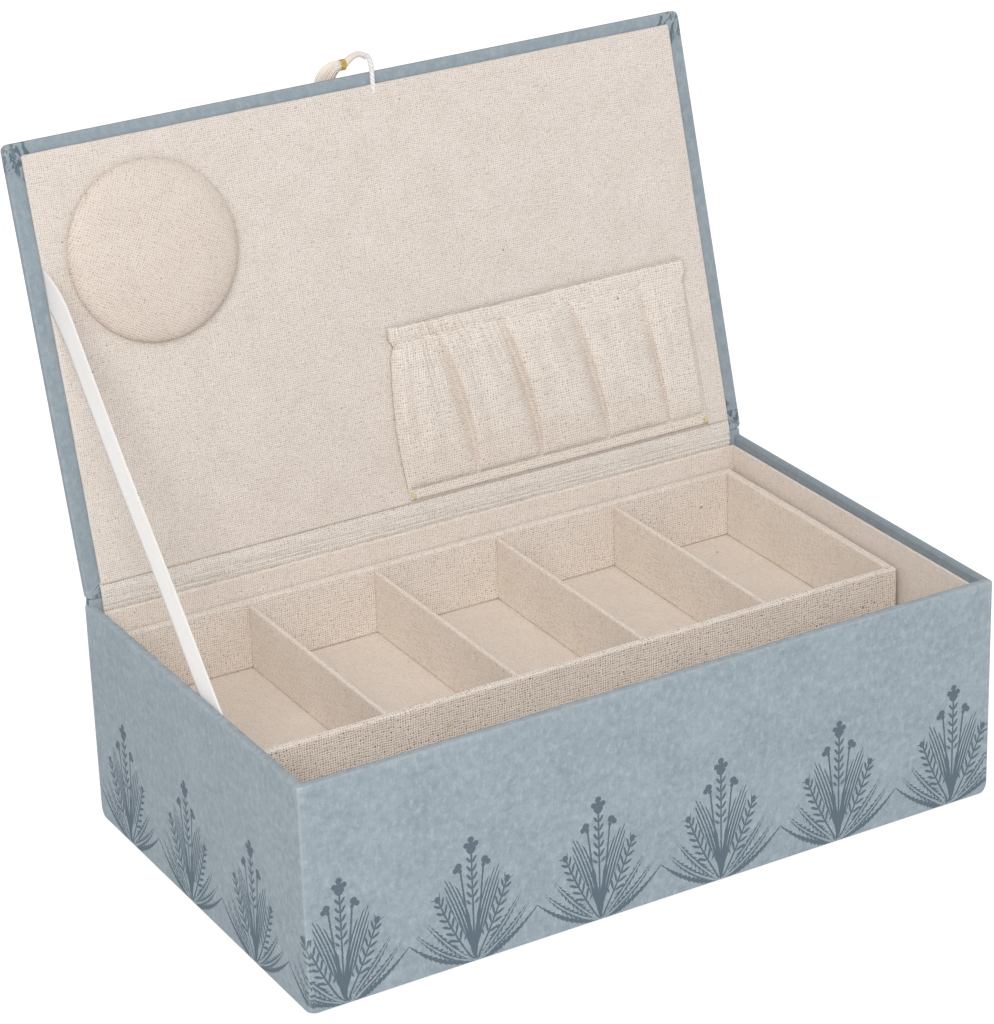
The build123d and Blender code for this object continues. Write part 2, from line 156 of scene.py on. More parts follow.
class Graph:
    """The node tree of one material."""

    def __init__(self, name: str) -> None:
        """Start an empty material.

        Args:
            name: the material's name.
        """
        self.material = bpy.data.materials.new(name)
        self.material.use_nodes = True
        self.tree = self.material.node_tree
        self.tree.nodes.clear()

    def node(self, kind: str, settings: dict | None = None, sockets: dict | None = None) -> bpy.types.Node:
        """Add a node.

        Args:
            kind: the node's type.
            settings: its own settings, set first.
            sockets: values or links for its sockets, by name or number.
        Returns:
            The node.
        """
        node = self.tree.nodes.new(kind)
        for name, setting in (settings or {}).items():
            setattr(node, name, setting)
        for name, fill in (sockets or {}).items():
            if isinstance(fill, Value):
                self.tree.links.new(fill.socket, node.inputs[name])
            elif isinstance(fill, Socket):
                self.tree.links.new(fill, node.inputs[name])
            else:
                node.inputs[name].default_value = fill
        return node

    def apart(self, vector: Socket) -> tuple[Value, Value, Value]:
        """Split a vector into its three numbers."""
        node = self.node("ShaderNodeSeparateXYZ", None, {0: vector})
        return Value(self, node.outputs[0]), Value(self, node.outputs[1]), Value(self, node.outputs[2])

    def together(self, *parts: Value | float) -> Socket:
        """Join up to three numbers into a vector."""
        return self.node("ShaderNodeCombineXYZ", None, dict(enumerate(parts))).outputs[0]

    def flat(self) -> tuple[Value, Value]:
        """Give the piece's own flat map, in millimetres of cloth or paper."""
        across, along, _ = self.apart(self.node("ShaderNodeUVMap", {"uv_map": FLAT_MAP}).outputs[0])
        return across, along

    def place(self) -> tuple[Value, Value, Value]:
        """Give the place on the object, in millimetres."""
        where = self.node("ShaderNodeTexCoord").outputs["Object"]
        x, y, z = self.apart(where)
        return x / MM, y / MM, z / MM

    def mark(self, name: str) -> Value:
        """Read a number that the mesh carries at its points."""
        node = self.node("ShaderNodeAttribute", {"attribute_name": name})
        return Value(self, node.outputs["Fac"])

    def noise(self, vector: Socket, scale: float, detail: float = 2.0, rough: float = 0.5) -> Value:
        """Add smooth noise.

        Args:
            vector: where it is read.
            scale: features to a millimetre.
            detail: how many finer layers it has.
            rough: how strong each finer layer is.
        Returns:
            The noise, about 0.5 on average.
        """
        node = self.node(
            "ShaderNodeTexNoise", None, {"Vector": vector, "Scale": scale, "Detail": detail, "Roughness": rough}
        )
        return Value(self, node.outputs[0])

    def mix(self, first: Fill, second: Fill, share: Value | float) -> Socket:
        """Mix two colours.

        Args:
            first: a colour or a link, where share is 0.
            second: a colour or a link, where share is 1.
            share: how much of the second.
        Returns:
            The mixed colour.
        """
        fills = [paint(side) if isinstance(side, Colour) else side for side in (first, second)]
        node = self.node("ShaderNodeMix", {"data_type": "RGBA"}, {0: share, 6: fills[0], 7: fills[1]})
        return node.outputs[2]

    def finish(self, colour: Socket, rough: Value, height: Value, depth: float,
               **constants: float) -> Material:
        """Close the material with its surface shader.

        Args:
            colour: where the colour comes from.
            rough: the roughness.
            height: the surface's relief, from 0 to 1.
            depth: the relief's depth in millimetres.
            constants: values for the shader's own sockets, with _ for each space.
        Returns:
            The finished material.
        """
        bump = self.node("ShaderNodeBump", None, {"Strength": 1.0, "Distance": depth * MM, "Height": height})
        sockets = {"Base Color": colour, "Roughness": rough, "Normal": bump.outputs[0]}
        sockets |= {name.replace("_", " "): number for name, number in constants.items()}
        shader = self.node("ShaderNodeBsdfPrincipled", None, sockets)
        self.node("ShaderNodeOutputMaterial", None, {0: shader.outputs[0]})
        return self.material


# Finishes


def slanted(side: Value, up: Value, part: "Blade | Sprig") -> tuple[Value, Value, Value]:
    """Give the distance along a leaning part, its share of the length, and the distance across.

    The mid-line moves aside by the share squared.

    Args:
        side: distance from the spray's middle.
        up: height over the spray's root.
        part: what has the lean, length and bend.
    Returns:
        Along, share and across.
    """
    turn = math.radians(part.lean)
    along = side * math.sin(turn) + up * math.cos(turn)
    share = (along / part.length).held()
    return along, share, side * math.cos(turn) - up * math.sin(turn) - share * share * part.bend


@dataclass(frozen=True)
class Blade:
    """A toothed leaf of the printed spray, drawn on the right half and mirrored."""

    lean: float
    length: float
    width: float
    bend: float
    teeth: float = 0.0
    vein: float = 0.0
    streaks: float = 0.0
    stem: float = 0.0
    swell: float = 0.85

    def ink(self, side: Value, up: Value) -> Value:
        """Ink the leaf.

        The distance along the leaf, as a share of its length and to a power, gives the half
        width: the sine of pi times that, cut by a saw-tooth, with a stem's half width added.

        Args:
            side: distance from the spray's middle.
            up: height over the spray's root.
        Returns:
            1 on the leaf, 0 off it.
        """
        along, share, across = slanted(side, up, self)
        half = (share ** self.swell * math.pi).sine() * self.width
        if self.stem:
            half = half + along.step(-0.2, 0.3) * share.step(1.0, 0.97) * self.stem
        if self.teeth:
            half = half * (1.0 - (along / self.teeth + abs(across) * 0.18).fraction() * 0.52)
        ink = (half - abs(across)).step(-0.06, 0.2)
        if self.vein:
            ink = ink * (abs(across) + share * 0.12).step(self.vein * 0.5, self.vein)
        if self.streaks:
            comb = (across * (2 * math.pi / self.streaks)).sine()
            ink = ink * (comb + 1.9 - share * 2.2).step(0.0, 0.5)
        return ink


@dataclass(frozen=True)
class Sprig:
    """A stalk with pairs of slanting leaflets and a bud at its tip."""

    lean: float
    length: float
    bend: float
    start: float
    pace: float
    reach: float
    bud: float

    def ink(self, side: Value, up: Value) -> Value:
        """Ink the sprig.

        Leaflets repeat along the stalk at an even pace and slant forwards as they leave it, and
        each is as wide as the sine of how far out it has come.

        Args:
            side: distance from the spray's middle.
            up: height over the spray's root.
        Returns:
            1 on the sprig, 0 off it.
        """
        along, share, across = slanted(side, up, self)
        out = abs(across)
        inside = along.step(self.start, self.start + 1.0) * (along - out).step(self.length, self.length - 0.6)
        stalk = out.step(0.5, 0.28) * along.step(1.0, 2.0) * along.step(self.length, self.length - 0.5)
        rung = ((along - out * 1.1) / self.pace).fraction() - 0.5
        reach = self.reach * (1.15 - share * 0.45)
        half = ((out / reach).held() * math.pi).sine() ** 0.7 * (self.pace * 0.27)
        leaflets = (half - abs(rung) * self.pace).step(0.0, 0.22) * inside
        tip = ((along - self.length) * 0.8) ** 2.0 + across * across
        bud = tip.root().step(self.bud, self.bud - 0.3)
        return stalk.larger(leaflets).larger(bud)


@dataclass(frozen=True)
class Blossom:
    """Round petals over the spray's middle stalk, mirrored left and right."""

    petals: tuple[Point, ...] = (
        (0.0, 50.8, 1.45), (2.0, 48.8, 1.3), (1.0, 46.9, 1.2), (0.0, 48.5, 1.6),
        (5.5, 41.2, 1.6), (6.8, 39.9, 1.3), (4.9, 39.2, 1.0),
    )

    def ink(self, side: Value, up: Value) -> Value:
        """Ink the petals, each a disc of its own radius."""
        gaps = [((side - place) ** 2.0 + (up - height) * (up - height)).root() for place, height, _ in self.petals]
        return reduce(Value.larger, (gap.step(petal[2], petal[2] - 0.3) for gap, petal in zip(gaps, self.petals)))


class Border(Enum):
    """Where the printed row of sprays grows from."""

    BOTTOM_EDGE = "up from the base's bottom edge"
    LONG_EDGES = "in from the lid's two long edges"


@dataclass(frozen=True)
class PrintedPaper:
    """Mottled blue paper with fibres in it and a printed row of leaf sprays."""

    name: str
    border: Border
    ground: Colour = "98A4AB"
    pale: Colour = "AEBAC0"
    deep: Colour = "818E99"
    ink: Colour = "596974"
    core: Colour = "C3C9CB"
    faded: Colour = "B4C0C5"
    fleck: Colour = "BCC8CD"
    fibre: Colour = "76858F"
    # Painted shade: the colour that darkens the lid paper's edges and turn-in.
    edge_painted_shade: Colour = "7F8B93"
    # Painted shade: the colour that darkens the top of the base's right rim.
    rim_painted_shade: Colour = "76828B"
    pitch: float = 54.04
    first: float = 13.1
    length: float = 300.0
    depth: float = 176.0
    height: float = 92.0
    leaves: tuple[Blade | Sprig | Blossom, ...] = (
        Blade(82.0, 30.6, 1.2, -12.6, teeth=2.1, stem=0.2),
        Blade(69.0, 31.8, 1.75, -10.4, teeth=2.3, vein=0.55, stem=0.12),
        Blade(50.5, 33.4, 1.8, -5.9, teeth=2.5, vein=0.55),
        Sprig(32.0, 33.5, -3.8, 10.5, 3.5, 3.8, 1.35),
        Blade(8.0, 39.5, 3.6, 5.9, streaks=1.35, swell=1.8),
        Blade(5.0, 24.0, 1.1, 1.0),
        Sprig(0.0, 46.0, 0.0, 24.0, 3.6, 3.1, 0.6),
        Sprig(8.0, 39.8, -0.7, 60.0, 4.0, 2.0, 0.7),
        Blossom(),
    )

    def spray(self, along: Value, up: Value) -> Value:
        """Ink the row of sprays.

        Args:
            along: distance along the row.
            up: height over the row's foot.
        Returns:
            1 where there is ink.
        """
        cell = ((along - self.first) / self.pitch + 0.5).fraction()
        side = abs(cell - 0.5) * self.pitch
        return reduce(Value.larger, (leaf.ink(side, up) for leaf in self.leaves)) * up.step(-0.3, 0.2)

    def build(self) -> Material:
        """Make the material: ground, mottling, fibres, print, worn edges, painted shade on the lid's edges and the
        base's right rim, and the paper's tooth.
        """
        graph = Graph(self.name)
        along, up = graph.flat()
        here = graph.together(along, up)
        cloud = graph.noise(here, 0.05, 3.0, 0.6)
        blot = graph.noise(here, 0.28, 4.0, 0.7)
        grain = graph.noise(here, 1.3, 2.0, 0.6)
        upright = graph.noise(graph.together(along * 1.1, up * 0.3), 0.8, 2.0, 0.65)
        level = graph.noise(graph.together(along * 0.4 + 31.0, up * 1.4), 0.8, 2.0, 0.6)
        tone = (cloud - 0.5) * 0.8 + (blot - 0.5) * 1.5 + (grain - 0.5) * 0.4 + (upright - 0.5) * 0.5
        colour = graph.mix(self.deep, self.pale, (tone + 0.5).held())
        colour = graph.mix(colour, self.ground, 0.3)
        patch = graph.noise(graph.together(along * 0.8, up * 0.5), 0.5, 3.0, 0.62).step(0.5, 0.72)
        colour = graph.mix(colour, self.faded, patch * 0.5)
        fleck = upright.step(0.6, 0.7) * blot.step(0.5, 0.6)
        colour = graph.mix(colour, self.fleck, fleck * 0.25)
        speck = level.step(0.6, 0.7) * blot.step(0.52, 0.42)
        colour = graph.mix(colour, self.fibre, speck * 0.4)
        if self.border is Border.BOTTOM_EDGE:
            rise, shown = up, 1.0
        else:
            rise = self.depth / 2 - abs(up - self.depth / 2)
            shown = along.step(0.0, 0.3) * along.step(self.length, self.length - 0.3)
        shaky = (graph.noise(here, 1.1, 1.0, 0.5) - 0.5) * 0.5
        print_ink = self.spray(along + shaky, rise + shaky) * shown
        wanting = graph.noise(here, 1.9, 3.0, 0.7).step(0.26, 0.42)
        colour = graph.mix(colour, self.ink, print_ink * (0.72 + wanting * 0.24))
        if self.border is Border.LONG_EDGES:
            beside, beyond = (-along).larger(along - self.length), (-up).larger(up - self.depth)
            # Painted shade: the paper beyond the lid's outer face, over its edges and turn-in, is darkened.
            margin = beside.larger(beyond).step(0.0, 0.6)
            colour = graph.mix(colour, self.edge_painted_shade, margin * 0.32)
            scrap = beside.step(0.2, 0.5) * beyond.step(-12.0, -9.0)
            scrap = scrap.larger(beyond.step(0.2, 0.5) * beside.step(-9.5, -8.5) * beside.step(-1.2, -2.0))
            jag = graph.noise(graph.together(along * 1.0 + up * 0.35, up * 0.4 - along * 0.2), 0.55, 2.0, 0.5)
            scrap = scrap * along.step(-0.1, 0.1).larger(up.step(80.0, 90.0))
            colour = graph.mix(colour, self.ink, scrap * jag.step(0.49, 0.52) * 0.9)
        else:
            # Painted shade: the rim top along the right wall is darkened towards the rim's painted shade colour.
            start, end = self.length, self.length + self.depth
            rim = up.step(self.height - 0.6, self.height + 0.2)
            rim = rim * along.step(start - 0.5, start + 1.0) * along.step(end + 1.0, end - 0.5)
            colour = graph.mix(colour, self.rim_painted_shade, rim * 0.5)
        rubbed = graph.mark(WEAR) * (graph.noise(here, 0.9, 3.0, 0.7).step(0.3, 0.6))
        colour = graph.mix(colour, self.core, rubbed * 0.6)
        tooth = grain * 0.4 + upright * 0.4 + blot * 0.6
        return graph.finish(colour, 0.72 + (grain - 0.5) * 0.12, tooth, 0.1, Specular_IOR_Level=0.35)


@dataclass(frozen=True)
class PlainPaper:
    """Unprinted paper, or board, with a mottled face."""

    name: str
    ground: Colour
    pale: Colour
    scale: float = 0.25

    def build(self) -> Material:
        """Make the material from clouds and grain over the object's own place."""
        graph = Graph(self.name)
        x, y, z = graph.place()
        here = graph.together(x, y, z)
        cloud = graph.noise(here, self.scale, 4.0, 0.65)
        grain = graph.noise(here, 1.4, 3.0, 0.6)
        colour = graph.mix(self.ground, self.pale, (cloud * 0.7 + grain * 0.5 - 0.1).held())
        return graph.finish(colour, 0.82 + (grain - 0.5) * 0.1, grain, 0.08, Specular_IOR_Level=0.3)


class Grain(Enum):
    """Which map a cloth's threads follow."""

    OWN_MAP = "the piece's flat map"
    LID_PLANE = "the lid's own plane"


@dataclass(frozen=True)
class Linen:
    """Plain-woven natural linen: threads, slubs, small gaps darkened as painted shade, and a few specks."""

    name: str
    thread: Colour
    shade: Colour
    # The colour of the painted shade in the gaps between threads.
    gap: Colour
    pitch: float = 1.0
    gaps: float = 0.7
    turn: float = 0.0
    grain: Grain = Grain.OWN_MAP
    relief: float = 0.14
    creases: float = 0.0
    stray: float = 1.2
    speck: Colour = "7A6B5C"

    def build(self) -> Material:
        """Make the material.

        Two sets of threads lie side by side at the pitch, each thread moved aside along its way by
        noise of its own. Its height is the sine across it, raised and lowered along it by a second
        sine that changes sign from thread to thread, and the higher of the two sets shows. The colour
        carries painted shading from that height: lighter on the threads' crowns, darker where they are
        low. A gap is where both sets are low, and it is darkened towards the gap colour as painted
        shade.
        """
        graph = Graph(self.name)
        if self.grain is Grain.OWN_MAP:
            across, along = graph.flat()
        else:
            x, y, z = graph.place()
            across, along = x, y * LID.up[1] + z * LID.up[2]
        here = graph.together(across, along)
        sway = (graph.noise(here, 0.05, 2.0, 0.5) - 0.5) * 3.0
        stray = (graph.noise(here, 0.5, 1.0, 0.5) - 0.5) * 0.5
        turn = math.radians(self.turn)
        first = (across * math.cos(turn) + along * math.sin(turn) + sway + stray) / self.pitch
        second = (along * math.cos(turn) - across * math.sin(turn) + sway * 0.6 - stray) / self.pitch
        slub = graph.noise(graph.together(first.floor() * 3.7, second * 0.3), 1.0, 1.0, 0.5)
        slub_across = graph.noise(graph.together(first * 0.3, second.floor() * 3.7 + 50.0), 1.0, 1.0, 0.5)
        warp = (((first.fraction() + (slub - 0.5) * self.stray).held()) * math.pi).sine()
        weft = (((second.fraction() + (slub_across - 0.5) * self.stray).held()) * math.pi).sine()
        over = ((second + first.floor()) * math.pi).sine()
        under = ((first + second.floor()) * math.pi).sine()
        height = (warp * (over * 0.3 + 0.7)).larger(weft * (under * -0.3 + 0.7))
        cloud = graph.noise(here, 0.06, 3.0, 0.6)
        # Painted shading: the height term makes the threads' crowns lighter and their low parts darker; the rest of
        # the tone is slubs and clouds.
        tone = (slub - 0.5) * 0.7 + (slub_across - 0.5) * 0.9 + (cloud - 0.5) * 0.7 + (height - 0.7) * 1.1
        colour = graph.mix(self.shade, self.thread, (tone + 0.6).held())
        # Painted shade: where both sets of threads are low, the colour is darkened towards the gap colour.
        open_here = graph.noise(here, 0.75, 2.0, 0.6).step(0.36, 0.6)
        hollow = warp.larger(weft).step(0.78, 0.25) * (0.5 + open_here * 0.5)
        colour = graph.mix(colour, self.gap, hollow * self.gaps)
        speck = graph.noise(here, 0.4, 1.0, 0.4).step(0.79, 0.81)
        colour = graph.mix(colour, self.speck, speck * 0.7)
        relief = height + slub * 0.4 + slub_across * 0.4
        if self.creases:
            crease = graph.noise(graph.together(across * 0.2, along * 1.4), 0.5, 3.0, 0.6)
            relief = relief + crease * self.creases
        return graph.finish(
            colour, 0.86 + (slub - 0.5) * 0.1, relief, self.relief,
            Specular_IOR_Level=0.2, Sheen_Weight=0.1, Sheen_Roughness=0.5,
        )


@dataclass(frozen=True)
class Thread:
    """Twisted or laid thread: bright strands, with darker turns between them as painted shade."""

    name: str
    bright: Colour
    dark: Colour
    turns: float
    slant: float
    rough: float = 0.5
    metallic: float = 0.0
    relief: float = 0.12
    sheen: float = 0.3

    def build(self) -> Material:
        """Make the material: strands are the sine of a slanting distance over the flat map."""
        graph = Graph(self.name)
        across, along = graph.flat()
        here = graph.together(across, along)
        strand = ((along * self.turns + across * self.slant) * (2 * math.pi)).sine() * 0.5 + 0.5
        hair = graph.noise(graph.together(across * 2.5, along * 0.5), 1.0, 2.0, 0.6)
        # Painted shade: the colour darkens between the strands.
        colour = graph.mix(self.dark, self.bright, (strand * 0.7 + hair * 0.6).held())
        cloud = graph.noise(here, 0.25, 2.0, 0.6)
        colour = graph.mix(colour, self.bright, cloud * 0.4)
        return graph.finish(
            colour, self.rough + (hair - 0.5) * 0.15, strand * 0.8 + hair * 0.3, self.relief,
            Metallic=self.metallic, Sheen_Weight=self.sheen, Specular_IOR_Level=0.35,
        )


@dataclass(frozen=True)
class Satin:
    """Satin ribbon: fine ribs across, a firmer edge and a soft shine."""

    name: str
    bright: Colour
    dark: Colour
    half_width: float

    def build(self) -> Material:
        """Make the material from the ribbon's own width and length."""
        graph = Graph(self.name)
        across, along = graph.flat()
        rib = (along * (2 * math.pi / 0.36)).sine() * 0.5 + 0.5
        streak = graph.noise(graph.together(across * 2.2, along * 0.05), 1.0, 2.0, 0.6)
        wave = graph.noise(graph.together(across * 0.15, along * 0.06), 1.0, 1.0, 0.5)
        colour = graph.mix(self.dark, self.bright, (streak * 0.5 + wave * 0.5 + rib * 0.2).held())
        selvedge = abs(across).step(self.half_width - 0.9, self.half_width - 0.5)
        colour = graph.mix(colour, self.dark, selvedge * 0.25)
        return graph.finish(
            colour, 0.42 + selvedge * 0.12, rib * 0.5 + streak * 0.4, 0.03,
            Sheen_Weight=0.25, Specular_IOR_Level=0.45,
        )


# Places and shapes


@dataclass(frozen=True)
class LidPlane:
    """The open lid's plane: x along the box, s up the lid from its hinge edge, o inwards."""

    half_depth: float = 88.0
    closed_z: float = 92.5
    hinge_y: float = 87.0
    hinge_z: float = 95.2
    open_angle: float = 105.2

    @property
    def up(self) -> Array:
        """Give the direction up the lid."""
        turn = math.radians(self.open_angle)
        return np.array((0.0, -math.cos(turn), math.sin(turn)))

    @property
    def inward(self) -> Array:
        """Give the direction off the lid's inner face."""
        return np.array((0.0, -self.up[2], self.up[1]))

    @property
    def edge(self) -> Array:
        """Give the middle of the hinge edge: the closed lid's edge, turned about the hinge."""
        turn = math.radians(self.open_angle)
        dy, dz = self.half_depth - self.hinge_y, self.closed_z - self.hinge_z
        return np.array((
            0.0,
            self.hinge_y + dy * math.cos(turn) + dz * math.sin(turn),
            self.hinge_z - dy * math.sin(turn) + dz * math.cos(turn),
        ))

    def at(self, x: ArrayLike, s: ArrayLike, o: ArrayLike) -> Array:
        """Give points of the lid: the edge, plus s times up, plus o times inward.

        Args:
            x: places along the box.
            s: places up the lid.
            o: distances in from the inner face.
        Returns:
            The points, with x, y and z last.
        """
        x, s, o = np.broadcast_arrays(*(np.asarray(part, float) for part in (x, s, o)))
        points = self.edge + s[..., None] * self.up + o[..., None] * self.inward
        points[..., 0] += x
        return points

    def section(self, s: float, o: float) -> Array:
        """Give y and z of a point of the lid's section."""
        return self.at(0.0, s, o)[1:]


LID = LidPlane()


def cells(rows: int, columns: int) -> Array:
    """Index the four corners of every cell of a grid of points."""
    first = np.arange((rows - 1) * columns).reshape(rows - 1, columns)[:, :-1].ravel()
    return np.stack((first, first + 1, first + columns + 1, first + columns), axis=1)


def places(low: float, high: float, radius: float, step: float) -> Array:
    """Place grid lines: close together over a rounded edge at each end, evenly between.

    Args:
        low: the first line.
        high: the last line.
        radius: the rounded edge's radius.
        step: the spacing between, at most.
    Returns:
        The lines, in order.
    """
    room = (high - low) / 2
    near = np.array([share for share in (0.0, 0.42, 0.75, 1.0, 1.6) if share * radius < room * 0.98]) * radius
    count = max(1, math.ceil((high - low - 2 * near[-1]) / step))
    middle = np.linspace(low + near[-1], high - near[-1], count + 1)[1:-1]
    return np.concatenate((low + near, middle, high - near[::-1]))


def join(*parts: ArrayLike) -> Array:
    """Join numbers as the last axis of one array, each spread to their common shape."""
    return np.stack(np.broadcast_arrays(*parts), axis=-1)


def distances(line: Array) -> Array:
    """Give how far along its line each point lies."""
    return np.concatenate(((0.0,), np.cumsum(np.linalg.norm(np.diff(line, axis=0), axis=1))))


def rounded(corners: list[tuple[float, float, float]], pieces: int = 5) -> Array:
    """Round an open line's corners.

    Each corner gives way to an arc that starts its radius before it and ends its radius after
    it, for square corners; the arc is drawn between the two with one bend of a parabola.

    Args:
        corners: two coordinates and a radius each.
        pieces: how many runs an arc has.
    Returns:
        The points in order.
    """
    plan = np.array(corners)[:, :2]
    line = [plan[:1]]
    for number in range(1, len(plan) - 1):
        radius = corners[number][2]
        if not radius:
            line.append(plan[number:number + 1])
            continue
        back, forth = plan[number - 1] - plan[number], plan[number + 1] - plan[number]
        start = plan[number] + back / np.linalg.norm(back) * radius
        end = plan[number] + forth / np.linalg.norm(forth) * radius
        middle = start + end - plan[number]
        turn = np.linspace(0, math.pi / 2, pieces + 1)[:, None]
        line.append(middle + (start - middle) * np.cos(turn) + (end - middle) * np.sin(turn))
    line.append(plan[-1:])
    return np.concatenate(line)


def slack(points: Array, seed: int, reach: float) -> Array:
    """Give a soft unevenness: the sum of four long sines in seeded directions.

    Args:
        points: where it is read.
        seed: what sets the directions.
        reach: about how long a wave is.
    Returns:
        A number from -1 to 1 for each point.
    """
    dice = np.random.default_rng(seed)
    ways = dice.normal(size=(4, points.shape[-1])) * (1.6 / reach)
    return np.sin(points @ ways.T * math.pi + dice.uniform(0, 6.3, 4)).mean(axis=-1)


def placed(name: str, data: bpy.types.ID) -> Object:
    """Make an object of its data and put it in the scene."""
    made = bpy.data.objects.new(name, data)
    bpy.context.scene.collection.objects.link(made)
    return made


def piece(name: str, points: Array, faces: Array, flat: Array | None = None,
          wear: Array | None = None) -> Object:
    """Make a closed mesh object from whole arrays, its doubles merged and its faces turned outwards.

    Args:
        name: the object's name.
        points: its points in millimetres.
        faces: four point numbers for each face.
        flat: the flat map, two millimetre values for each point.
        wear: how worn each point is, from 0 to 1.
    Returns:
        The object, at the origin.
    """
    mesh = bpy.data.meshes.new(name)
    mesh.from_pydata((points.reshape(-1, 3) * MM).tolist(), [], faces.tolist())
    if flat is not None:
        corner = np.empty(len(mesh.loops), np.int32)
        mesh.loops.foreach_get("vertex_index", corner)
        layer = mesh.uv_layers.new(name=FLAT_MAP)
        layer.data.foreach_set("uv", flat.reshape(-1, 2)[corner].astype(np.float32).ravel())
    if wear is not None:
        mesh.attributes.new(WEAR, "FLOAT", "POINT").data.foreach_set("value", wear.astype(np.float32).ravel())
    work = bmesh.new()
    work.from_mesh(mesh)
    bmesh.ops.remove_doubles(work, verts=work.verts, dist=MERGE)
    bmesh.ops.dissolve_degenerate(work, edges=work.edges, dist=SLIVER)
    bmesh.ops.recalc_face_normals(work, faces=work.faces)
    work.to_mesh(mesh)
    work.free()
    mesh.shade_smooth()
    return placed(name, mesh)


def card(name: str, low: Point, high: Point, radius: float, on_lid: bool = False, swell: float = 0.1,
         step: float = 7.0, seed: int = 1) -> Object:
    """Make a card or board with wrapped, rounded edges.

    Each point of a plain block is pulled to the radius round the nearest point of the block
    drawn in by that radius, then moved out by a soft unevenness.

    Args:
        name: the object's name.
        low: the lowest corner.
        high: the highest corner.
        radius: the edges' radius.
        on_lid: whether the corners are x, s and o of the lid in place of x, y and z.
        swell: how far the unevenness moves a point.
        step: the grid's spacing.
        seed: what sets the unevenness.
    Returns:
        The object.
    """
    lows, highs = np.array(low, float), np.array(high, float)
    radius = min(radius, float((highs - lows).min()) / 2 * 0.96)
    lines = [places(lows[axis], highs[axis], radius, step) for axis in range(3)]
    points, flats, faces, count = [], [], [], 0
    for axis in range(3):
        first, second = (other for other in range(3) if other != axis)
        for end in (lows[axis], highs[axis]):
            grid = np.stack(np.meshgrid(lines[first], lines[second], indexing="ij"), axis=-1)
            block = np.empty((*grid.shape[:2], 3))
            block[..., first], block[..., second], block[..., axis] = grid[..., 0], grid[..., 1], end
            points.append(block.reshape(-1, 3))
            flats.append(grid.reshape(-1, 2))
            faces.append(cells(*grid.shape[:2]) + count)
            count += len(points[-1])
    block = np.concatenate(points)
    heart = np.clip(block, lows + radius, highs - radius)
    out = block - heart
    out /= np.linalg.norm(out, axis=1, keepdims=True)
    block = heart + out * (radius + slack(block, seed, 28.0)[:, None] * swell)
    if on_lid:
        block = LID.at(block[:, 0], block[:, 1], block[:, 2])
    return piece(name, block, np.concatenate(faces), np.concatenate(flats))


@dataclass(frozen=True)
class Loop:
    """A rounded oblong's outline, as corner signs and outward normals.

    A point of the outline drawn in by d, with corners of radius r, is the signs times the half
    sizes less the larger of r and d, plus the normals times that larger one less d.
    """

    half_x: float
    half_y: float
    nominal: float = 1.1
    step: float = 7.0
    zone: float = 1.4

    def columns(self) -> tuple[Array, Array, Array]:
        """Give each column's signs, normal and distance along the outline.

        The line starts at the back left corner and goes down the left side, along the front, up
        the right side and along the back. Distance is nought at the front left corner.
        """
        corner_signs = np.array(((-1, 1), (-1, -1), (1, -1), (1, 1)), float)
        runs = (2 * self.half_y, 2 * self.half_x, 2 * self.half_y, 2 * self.half_x)
        ends = np.cumsum((-runs[0], *runs))
        signs, normals, distance = [], [], []
        for number in range(4):
            share = np.linspace(0, 1, 6)
            turn = math.pi / 2 * (number + 1 + share)
            signs.append(np.repeat(corner_signs[number][None], 6, axis=0))
            normals.append(np.stack((np.cos(turn), np.sin(turn)), axis=1))
            distance.append(ends[number] + self.nominal * (2 * share - 1))
            along = places(0.0, runs[number], self.zone, self.step)[1:-1, None] / runs[number]
            nearer, farther = corner_signs[number], corner_signs[(number + 1) % 4]
            signs.append(nearer + (farther - nearer) * along)
            normals.append(np.repeat(normals[-1][-1:], len(along), axis=0))
            distance.append(ends[number] + along[:, 0] * runs[number])
        signs.append(corner_signs[:1])
        normals.append(np.array(((0.0, 1.0),)))
        distance.append(ends[4:] - self.nominal)
        return np.concatenate(signs), np.concatenate(normals), np.concatenate(distance)

    def corner_gaps(self) -> Array:
        """Give each column's distance along the outline to the nearest corner."""
        tall, wide = 2 * self.half_y, 2 * self.half_x
        corners = np.cumsum((-tall, tall, wide, tall, wide))
        return np.abs(self.columns()[2][:, None] - corners).min(axis=1)

    def raised(self, inset: Array, radius: ArrayLike, z: Array) -> Array:
        """Give the outline at each inset, radius and height: rows by columns, x, y and z last."""
        plan = self.points(inset, radius)
        return join(plan[..., 0], plan[..., 1], z[:, None])

    def points(self, inset: Array, radius: ArrayLike) -> Array:
        """Give the outline at each inset and radius: rows by columns, x and y last."""
        inset, radius = np.broadcast_arrays(inset, radius)
        signs, normals, _ = self.columns()
        larger = np.maximum(inset, radius)[:, None, None]
        half = np.array((self.half_x, self.half_y))
        return signs * (half - larger) + normals * (larger - inset[:, None, None])


def board_profile(middle: float, low: float, high: float, edge: float, waist: float, flat: float) -> Array:
    """Give a board's section, as inset and height, from the middle of one face round to the other.

    Args:
        middle: the inset of the board's middle.
        low: the lower face.
        high: the upper face.
        edge: the inset of the edge.
        waist: the height of a point half way up the edge.
        flat: the inset of a point on each face.
    Returns:
        The section's points in order.
    """
    return np.array((
        (middle, low), (flat, low), (0.6, low), (edge, low + 0.3), (edge, waist),
        (edge, high - 0.3), (0.6, high), (flat, high), (middle, high),
    ))


